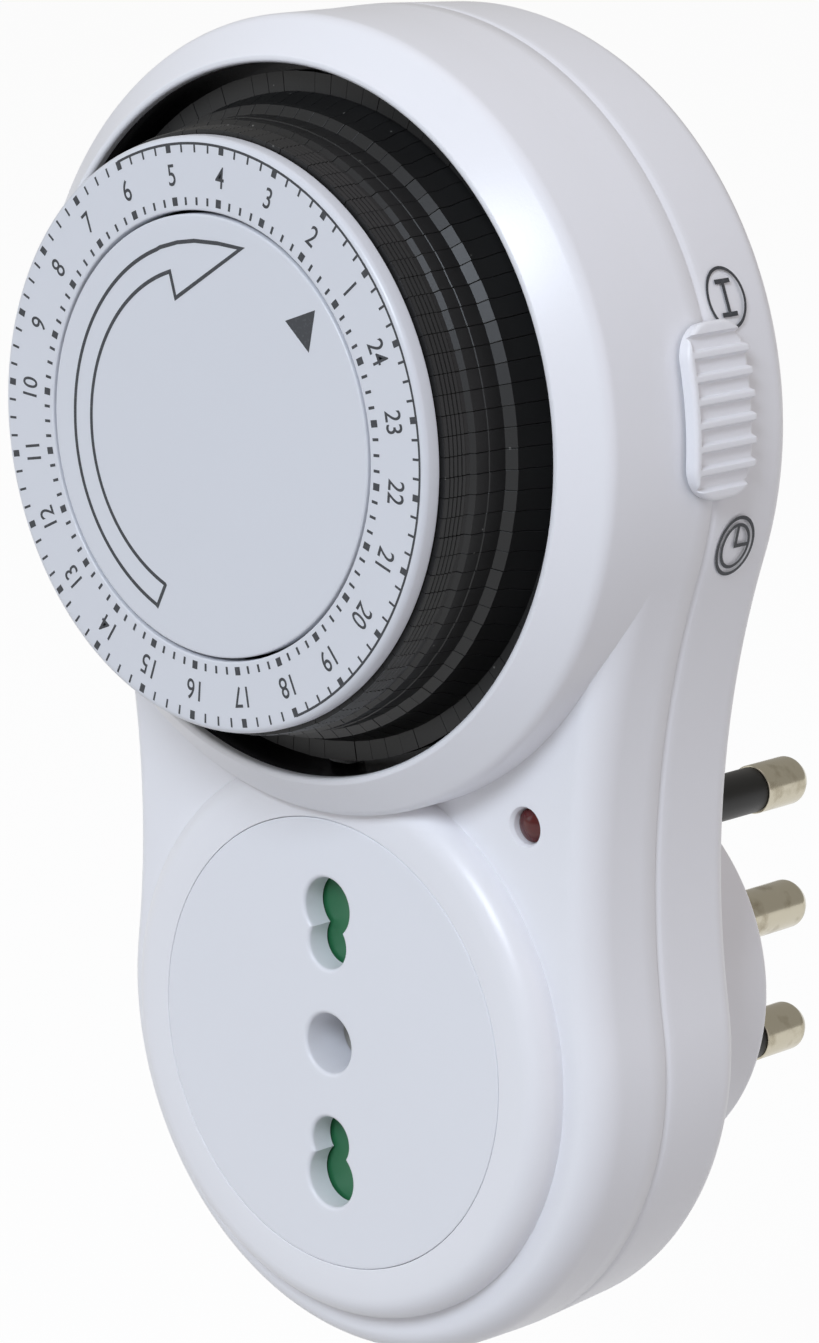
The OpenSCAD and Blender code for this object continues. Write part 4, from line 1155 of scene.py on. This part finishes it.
@dataclass
class Selector:
    """The sliding knob on the right side, with its ribs, and the two signs beside it.

    Attributes:
        side_r: Radius of the drum, over which the knob's underside runs with the clearance gap.
        pad: Height of the knob's solid part, on which the ribs stand rib high and rib_w wide.
        rim: Radius of the knob's rounded edge.
        wall: Thickness of the wall in front of the grooves.
        soft: Width over which a groove's side rises.
        angle: Where the knob's middle stands, in degrees, at the depth y.
        corner: Radius of the knob's corners.
        pitch: Distance between two grooves.
        under_r: Radius of the neck's and the foot's inner end; the foot ends at foot_r.
        sign_y: Depth of the signs' middle.
        on_at: Angle of the sign for always on, in degrees, and how far it lies behind sign_y.
        timed_at: The same of the clock.
    """

    at: Layout
    skin: Material
    ink: Material
    side_r: float = 36.4
    gap: float = 0.3
    pad: float = 0.6
    rib: float = 0.6
    rib_w: float = 0.72
    rim: float = 0.42
    wall: float = 0.75
    soft: float = 0.26
    angle: float = 4.65
    y: float = -35.2
    length: float = 15.5
    width: float = 8.4
    corner: float = 3.4
    pitch: float = 2.0
    grooves: int = 7
    under_r: float = 33.5
    foot_r: float = 34.1
    sign_y: float = -30.93
    on_at: Point = (19.5, -0.3)
    timed_at: Point = (-15.65, 0.1)

    def height(self, u: Array, v: Array) -> Array:
        """Height of the knob above its underside.

        The whole knob is a pad whose rim is a quarter ellipse over the distance d from the outline, where
        d = c - |max(q, 0)| - min(max(q), 0) and q = |(u, v)| - (half size - c). Grooves with soft sides run from
        the front wall out through the back edge, and the ends beyond the last groove are solid.

        Args:
            u: Distances along the knob from its middle.
            v: Distances across it.

        Returns:
            Heights in millimetres.
        """
        half, c = np.array([self.length / 2, self.width / 2]), self.corner
        q = np.abs(np.stack([u, v], -1)) - (half - c)
        d = c - np.hypot(*np.moveaxis(np.maximum(q, 0), -1, 0)) - np.minimum(q.max(-1), 0)
        away = np.clip(1 - d / self.rim, 0, 1)
        side, edge = np.abs((u / self.pitch + 0.5) % 1 - 0.5) * self.pitch, (self.pitch - self.rib_w) / 2
        groove = 1 - ramp(side, edge - self.soft / 2, edge + self.soft / 2)
        groove *= np.abs(u) < self.grooves * self.pitch / 2
        groove *= ramp(v, self.wall - self.width / 2 - 0.1, self.wall - self.width / 2 + 0.2)
        return self.pad + self.rib * (1 - groove) - self.rim * (1 - np.sqrt(1 - away**2))

    def on_drum(self, a: Array, y: Array | float, r: Array | float) -> Array:
        """Points at the angle a in radians, depth y and radius r round the dial's axis."""
        return np.stack(np.broadcast_arrays(r * np.cos(a), y, self.at.axis[1] + r * np.sin(a)), -1)

    def wrap(self, along: Array, across: Array, r: Array) -> Array:
        """Points on the drum, from distances along and across the knob's middle and a radius."""
        return self.on_drum(np.radians(self.angle) + along / (self.side_r + self.pad), self.y + across, r)

    def block(self, half_a: float, half_y: float, r0: float, r1: float) -> Patch:
        """A block under the knob's middle, bent round the drum.

        Args:
            half_a: How far it reaches to each side along the drum, in degrees.
            half_y: How far it reaches to each side in depth.
            r0: Radius of its inner face.
            r1: Radius of its outer face.

        Returns:
            Vertices and faces.
        """
        y0, y1 = self.y - half_y, self.y + half_y
        a = np.radians(np.linspace(self.angle - half_a, self.angle + half_a, 7))
        rings = [self.on_drum(a, y, r) for r, y in ((r0, y0), (r1, y0), (r1, y1), (r0, y1))]
        verts, faces = grid(np.stack(rings, 1), wrap_cols=True)
        return verts, faces + [(0, 1, 2, 3), (24, 25, 26, 27)]

    def build_knob(self) -> None:
        """Builds the knob on a grid that narrows towards its rounded ends, bent round the drum, with its neck.

        At u along the knob the half width is w - c + sqrt(c^2 - (|u| - l + c)^2) over its rounded ends.
        """
        low = self.side_r + self.gap
        w, l, c = self.width / 2, self.length / 2, self.corner
        u = l * np.sin(np.pi / 2 * np.linspace(-1, 1, 9))[[0, 1, -2, -1]]
        u = np.unique(np.concatenate([np.linspace(-l, l, 171), u]))
        wide = w - c + np.sqrt(np.clip(c**2 - np.maximum(np.abs(u) - l + c, 0) ** 2, 0, None))
        t = np.sin(np.pi / 2 * np.linspace(-1, 1, 57))
        along, across = np.broadcast_to(u[:, None], (len(u), len(t))), wide[:, None] * t
        top = self.wrap(along, across, low + self.height(along, across))
        under = self.wrap(along, across, np.full(along.shape, low))
        skirts = [grid(np.stack([top[k].reshape(-1, 3), under[k].reshape(-1, 3)]))
                  for k in (np.s_[:1], np.s_[-1:], np.s_[:, :1], np.s_[:, -1:])]
        neck, foot = self.block(2, 1.6, self.under_r + 0.1, low + 0.3), self.block(5, 3.5, self.under_r, self.foot_r)
        make_piece("selector_grip", [grid(top), grid(under), *skirts, neck, foot], self.skin,
                   "selector_knob", "selector", sharp=50)

    def sign(self, strokes: list[tuple[Array, bool]], centre: float, shift: float) -> list[Patch]:
        """A flat drawing laid on the drum's side.

        Args:
            strokes: Both sides of each line, as points (right, up), and whether the line is closed.
            centre: Angle of the drawing's middle, in degrees.
            shift: How far the drawing is moved back.

        Returns:
            Vertices and faces of each line.
        """
        r, a, y = self.side_r + self.at.ink, math.radians(centre), self.sign_y + shift
        return [grid(self.on_drum(a + flat[..., 1] / r, y + flat[..., 0], r), wrap_cols=closed)
                for flat, closed in strokes]

    def build_signs(self) -> None:
        """Prints a ringed bar for always on above the knob, and a clock for timed running below it."""
        ring, bar = circle(1.0, 6.0), np.array([(0.0, -1.5), (0.0, 1.5)])
        hands = np.array([(0.0, 1.9), (0.0, 0.0), (1.7, 0.0)])
        serifs = [stroke(np.array([(-1.0, h), (1.0, h)]), 0.42, False) for h in (1.5, -1.5)]
        on = [stroke(ring * (2.37, 2.72), 0.3), stroke(bar, 0.4, False), *serifs]
        clock = [stroke(ring * (2.36, 2.7), 0.34), stroke(ring * (1.76, 2.01), 0.32), stroke(hands, 0.36, False)]
        patches = self.sign(on, *self.on_at) + self.sign(clock, *self.timed_at)
        make_piece("selector_signs", patches, self.ink)


# ---- Plug and indicator ----


@dataclass
class Plug:
    """Three pins in a row: the outer two have an insulating sleeve up to their bare tips.

    Attributes:
        pin_r: Radius of a pin, and of its bare tip.
        waist_r: Radius of a pin inside its sleeve, in whose bore it sits with the clearance fit.
        sleeve_r: Outer radius of a sleeve, which ends at the depth sleeve_end.
        head_r: Radius of a pin's head, between the depths head_y.
        tail_r: Radius of the solder tail behind the head, which starts at the depth tail.
        tip: Depth of the pins' ends.
        pitch: Distance between two pins.
    """

    metal: Material
    sleeve: Material
    pin_r: float = 2.5
    waist_r: float = 1.9
    fit: float = 0.03
    sleeve_r: float = 2.33
    sleeve_end: float = 14.0
    head_r: float = 3.9
    head_y: tuple[float, float] = (-11.0, -9.4)
    tail_r: float = 1.5
    tail: float = -13.8
    tip: float = 21.0
    pitch: float = 13.0

    def build(self) -> None:
        """Builds the pins, flat-ended with rounded rims, and the sleeves."""
        (y0, y1), end, r = self.head_y, self.sleeve_end, self.pin_r
        sleeved = [(self.waist_r, y1 + 0.1, 0), (self.waist_r, end, 0), (r, end, 0.12)]
        for name, node, z, body in (("pin_upper", "live_pin", 1, sleeved), ("pin_middle", "earth_pin", 0, [(r, y1, 0)]),
                                    ("pin_lower", "neutral_pin", -1, sleeved)):
            profile = filleted([
                (0, self.tail, 0), (self.tail_r, self.tail, 0), (self.tail_r, y0, 0), (self.head_r, y0, 0),
                (self.head_r, y1, 0), *body, (r, self.tip - 1.2, 1.2), (r - 0.85, self.tip, 0.7), (0, self.tip, 0)], 7)
            make_piece(name, [turned(profile, (0.0, z * self.pitch), 72)], self.metal, node)
        bore, start, outer = self.waist_r + self.fit, y1 + 0.2, self.sleeve_r
        ring = filleted([(bore, start, 0), (outer, start, 0), (outer, end, 0.1), (bore, end, 0)], 4)
        rings = [turned(ring, (0.0, z * self.pitch), 64) for z in (1, -1)]
        make_piece("sleeves", rings, self.sleeve, "pin_sleeves")


@dataclass
class Indicator:
    """The red lens, a low dome sunk in its hole.

    Attributes:
        radius: Radius of the dome and its stem.
        flange_r: Radius of the flange behind the face, which is flange_t thick.
        sunk: How far the dome's middle lies behind the face, and rise how far its rim lies behind that.
    """

    at: Layout
    lens: Material
    radius: float = 1.55
    flange_r: float = 2.45
    flange_t: float = 1.0
    sunk: float = 0.45
    rise: float = 0.55

    def build(self) -> None:
        """Builds the lens: y = front + sunk + rise (r / R)^2 over the dome, then a straight stem and a flange."""
        r, inner, end = np.linspace(0, self.radius, 9), self.at.inner, self.at.inner + self.flange_t
        dome = np.stack([r, self.at.front + self.sunk + self.rise * (r / self.radius) ** 2], -1)
        stem = np.array([(self.radius, inner), (self.flange_r, inner), (self.flange_r, end), (0, end)])
        make_piece("lens", [turned(np.concatenate([dome, stem]), self.at.lens, 48)], self.lens,
                   "indicator_lens")


# ---- Studio ----


@dataclass(frozen=True)
class Lamp:
    """A square studio lamp.

    Attributes:
        name: The lamp's name.
        place: Where it stands, in metres.
        size: Side in metres.
        power: Power in watts.
        colour: Hex colour.
    """

    name: str
    place: tuple[float, float, float]
    size: float
    power: float
    colour: str


@dataclass
class Studio:
    """Camera, floor, soft lamps and a white surround, in metres and degrees.

    Attributes:
        lamps: The lamps.
        aim: The point that they are turned to.
        eye: Where the camera stands.
        azimuth: The camera's angle round the object, from straight ahead of it.
        elevation: How far the camera looks down.
        roll: How far it is turned about its own axis.
        lens: Its focal length in millimetres, on a sensor 36 mm wide.
        floor_z: Height of the floor, which is twice floor_half wide.
        surround: Strength of the surround's light.
        paper: Share of the floor's own white where the camera or a reflection sees it.
    """

    lamps: list[Lamp]
    aim: tuple[float, float, float] = (0.0, -0.03, 0.035)
    eye: tuple[float, float, float] = (0.29875, -0.34823, 0.12675)
    azimuth: float = 43.716
    elevation: float = 12.184
    roll: float = 0.646
    lens: float = 127.62
    floor_z: float = -0.12
    floor_half: float = 12.0
    surround: float = 0.42
    paper: float = 0.9

    def camera(self) -> None:
        """Places the camera: it looks down by the elevation and is rolled about its own axis."""
        az, el, roll = (math.radians(v) for v in (self.azimuth, self.elevation, self.roll))
        ahead = Vector((-math.sin(az) * math.cos(el), math.cos(az) * math.cos(el), -math.sin(el)))
        right0 = ahead.cross(Vector((0, 0, 1))).normalized()
        down0 = ahead.cross(right0)
        right = math.cos(roll) * right0 + math.sin(roll) * down0
        down = -math.sin(roll) * right0 + math.cos(roll) * down0
        data = bpy.data.cameras.new("camera")
        data.lens, data.sensor_width, data.sensor_fit = self.lens, 36.0, "AUTO"
        data.clip_start, data.clip_end = 0.01, 100.0
        camera = bpy.data.objects.new("camera", data)
        camera.matrix_world = Matrix.Translation(self.eye) @ Matrix((right, -down, -ahead)).transposed().to_4x4()
        bpy.context.scene.collection.objects.link(camera)
        bpy.context.scene.camera = camera

    def seen(self, tree: bpy.types.NodeTree, *rays: str) -> bpy.types.NodeSocket:
        """Adds nodes that tell whether a ray is of one of some kinds.

        Args:
            tree: Node tree that gets the nodes.
            rays: Names of the kinds.

        Returns:
            An output that is 1 for such a ray and 0 for others.
        """
        path = add_node(tree, "ShaderNodeLightPath")
        share = path.outputs[rays[0]]
        for ray in rays[1:]:
            share = add_node(tree, "ShaderNodeMath", {0: share, 1: path.outputs[ray]}, operation="MAXIMUM").outputs[0]
        return share

    def floor(self) -> None:
        """Lays a wide pale floor: it glows white to the camera and in reflections, and still takes a shadow."""
        s, z = self.floor_half, self.floor_z
        mesh = bpy.data.meshes.new("floor")
        mesh.from_pydata([(-s, -s, z), (s, -s, z), (s, s, z), (-s, s, z)], [], [(0, 1, 2, 3)])
        material, tree = new_tree("studio_paper")
        seen = self.seen(tree, "Is Camera Ray", "Is Glossy Ray", "Is Transmission Ray")
        share = add_node(tree, "ShaderNodeMath", {0: seen, 1: self.paper}, operation="MULTIPLY")
        paper = add_node(tree, "ShaderNodeBsdfDiffuse", {"Color": linear("#BEBEC0"), "Roughness": 0.5})
        glow = add_node(tree, "ShaderNodeEmission", {"Color": linear("#FFFFFF"), "Strength": 1.05})
        both = add_node(tree, "ShaderNodeMixShader", {0: share, 1: paper, 2: glow})
        add_node(tree, "ShaderNodeOutputMaterial", {"Surface": both})
        mesh.materials.append(material)
        floor = bpy.data.objects.new("floor", mesh)
        bpy.context.scene.collection.objects.link(floor)

    def world(self) -> None:
        """Surrounds the scene with plain light, and with white where the camera or a clear piece sees it."""
        world = bpy.data.worlds.new("studio")
        bpy.context.scene.world = world
        world.use_nodes = True
        tree = world.node_tree
        tree.nodes.clear()
        plain = add_node(tree, "ShaderNodeBackground", {"Color": linear("#FFFCF6"), "Strength": self.surround})
        white = add_node(tree, "ShaderNodeBackground", {"Color": linear("#FFFFFF"), "Strength": 1.0})
        seen = self.seen(tree, "Is Camera Ray", "Is Transmission Ray")
        both = add_node(tree, "ShaderNodeMixShader", {0: seen, 1: plain, 2: white})
        add_node(tree, "ShaderNodeOutputWorld", {"Surface": both})

    def light(self) -> None:
        """Hangs the lamps, each turned to the object's middle."""
        for lamp in self.lamps:
            data = bpy.data.lights.new(lamp.name, "AREA")
            data.shape, data.size, data.energy = "SQUARE", lamp.size, lamp.power
            data.color = linear(lamp.colour)[:3]
            light = bpy.data.objects.new(lamp.name, data)
            light.location = lamp.place
            light.rotation_euler = (Vector(self.aim) - Vector(lamp.place)).to_track_quat("-Z", "Y").to_euler()
            bpy.context.scene.collection.objects.link(light)

    def build(self) -> None:
        """Sets the whole studio up."""
        self.camera()
        self.floor()
        self.world()
        self.light()
        bpy.context.scene.view_settings.view_transform = "Standard"


def main() -> None:
    """Builds every sub-assembly in order, then the studio."""
    logging.basicConfig(level=logging.INFO, format="%(message)s")
    # Spark-eroded ABS: the mould's fine pits give the housing a soft, slightly sparkling sheen
    shell = Moulded("spark_eroded_abs", "#EFEFF3", 0.32, 0.28, 7.0, 0.012).make()
    # ABS from a finer mould: the socket's face looks smoother than the shells, and a touch bluer
    face = Moulded("fine_moulded_abs", "#EAEBF0", 0.34, 0.22, 2.0, 0.012).make()
    # Polystyrene from a polished mould: the dial is smooth and shows broad soft reflections
    dial = Moulded("polished_polystyrene", "#DADCE2", 0.3, 0.5, 0.8, 0.01).make()
    # Nylon from a satin mould: the tappets are charcoal rather than black, with dust in the hollows
    black = Moulded("satin_black_nylon", "#202020", 0.42, 0.25, 6.0, 0.25, 6.0, dust=0.05, sheen=0.36).make()
    # Nylon from a glossy mould: the well's wall mirrors the pale rim
    lining = Moulded("gloss_black_nylon", "#1A191C", 0.22, 0.4, 1.5, 0.2, 9.0).make()
    # Nylon moulded round the pins: the sleeves are a flat, even black with hardly a highlight
    sleeve = Moulded("moulded_black_sleeve", "#121211", 0.42, 0.2, 4.0, 0.3, 3.0, sheen=0.3).make()
    # Dyed nylon: a deep green that goes dark towards the bottom of the holes
    green = Moulded("moulded_green_nylon", "#2C6E48", 0.36, 0.3, 3.0, 0.06, 5.0).make()
    # Undyed nylon: the works inside are a milky off-white
    inner = Moulded("moulded_natural_nylon", "#D9D8D2", 0.45, 0.3, 4.0, 0.03, 6.0).make()
    # Pad-printed ink: dark grey lines without a gloss, which look slightly worn from close by
    ink = Printed("pad_printed_ink", "#3A3C40", "#55575B").make()
    # Turned brass with nickel plate: a warm silver with sharp, bright lines along the pins
    nickel = Metal("nickel_plated_turned_brass", "#C8C1AE", "#A89F8A", 0.2, stained=0.2).make()
    # Pressed steel with zinc plate: a cool grey with dull clouds
    zinc = Metal("zinc_plated_pressed_steel", "#B9BCC0", "#8B8E92", 0.3).make()
    # Stamped brass: a yellow metal with brown tarnish
    brass = Metal("stamped_brass", "#C9A25C", "#8E6E3C", 0.3).make()
    # Acrylic dyed so deep that the unlit lens looks solid: dark red with one soft highlight
    lens = Clear("red_acrylic", "#520C0D", 0.0, 0.2).make()
    # Blown glass: the lamp's bulb is clear, with a warm tint
    glass = Clear("blown_lamp_glass", "#F2D9B0", 0.9).make()
    # Baked lacquer: the resistor is a smooth tan bead
    paint = Moulded("baked_resistor_lacquer", "#C9A574", 0.35, 0.3, 3.0, 0.08, 2.0).make()

    at = Layout()
    housing = Housing(at, Outline(at.axis), shell)
    housing.build_front()
    housing.build_back()
    Socket(at, face).build()
    hours = Dial(at, dial, ink, black)
    hours.build_ring()
    hours.build_disc()
    hours.build_prints()
    hours.build_arrow()
    hours.build_tappets()
    selector = Selector(at, shell, ink)
    selector.build_knob()
    selector.build_signs()
    Plug(nickel, sleeve).build()
    Indicator(at, lens).build()

    dress(green, "safety_shutter")
    dress(lining, "timer_base")
    dress(black, "tappet_carrier", "selector_link", "switch_base")
    dress(inner, "contact_carrier", "pin_retainer", "dial_gear", "reduction_gear", "follower_lever")
    dress(zinc, "screws", "gear_plate", "motor", "dial_arbor", "reduction_shaft", "follower_pin", "shutter_spring",
          "motor_pinion")
    dress(brass, "live_contact", "neutral_contact", "earth_contact", "live_bar", "neutral_bar", "earth_bar",
          "switch_blade", "fixed_contact")
    dress(glass, "neon_lamp")
    dress(paint, "neon_resistor")

    Studio([
        Lamp("key", (0.46, -1.04, 0.76), 0.42, 9.6, "#E7F1FF"),
        Lamp("left", (-0.9, -0.9, 0.55), 0.8, 2.2, "#F2F7FF"),
        Lamp("side", (1.25, 0.2, 0.3), 0.9, 1.35, "#FDF0FF"),
        Lamp("top", (0.1, 0.1, 1.3), 0.9, 1.15, "#FDF0FF"),
    ]).build()


if __name__ == "__main__":
    main()
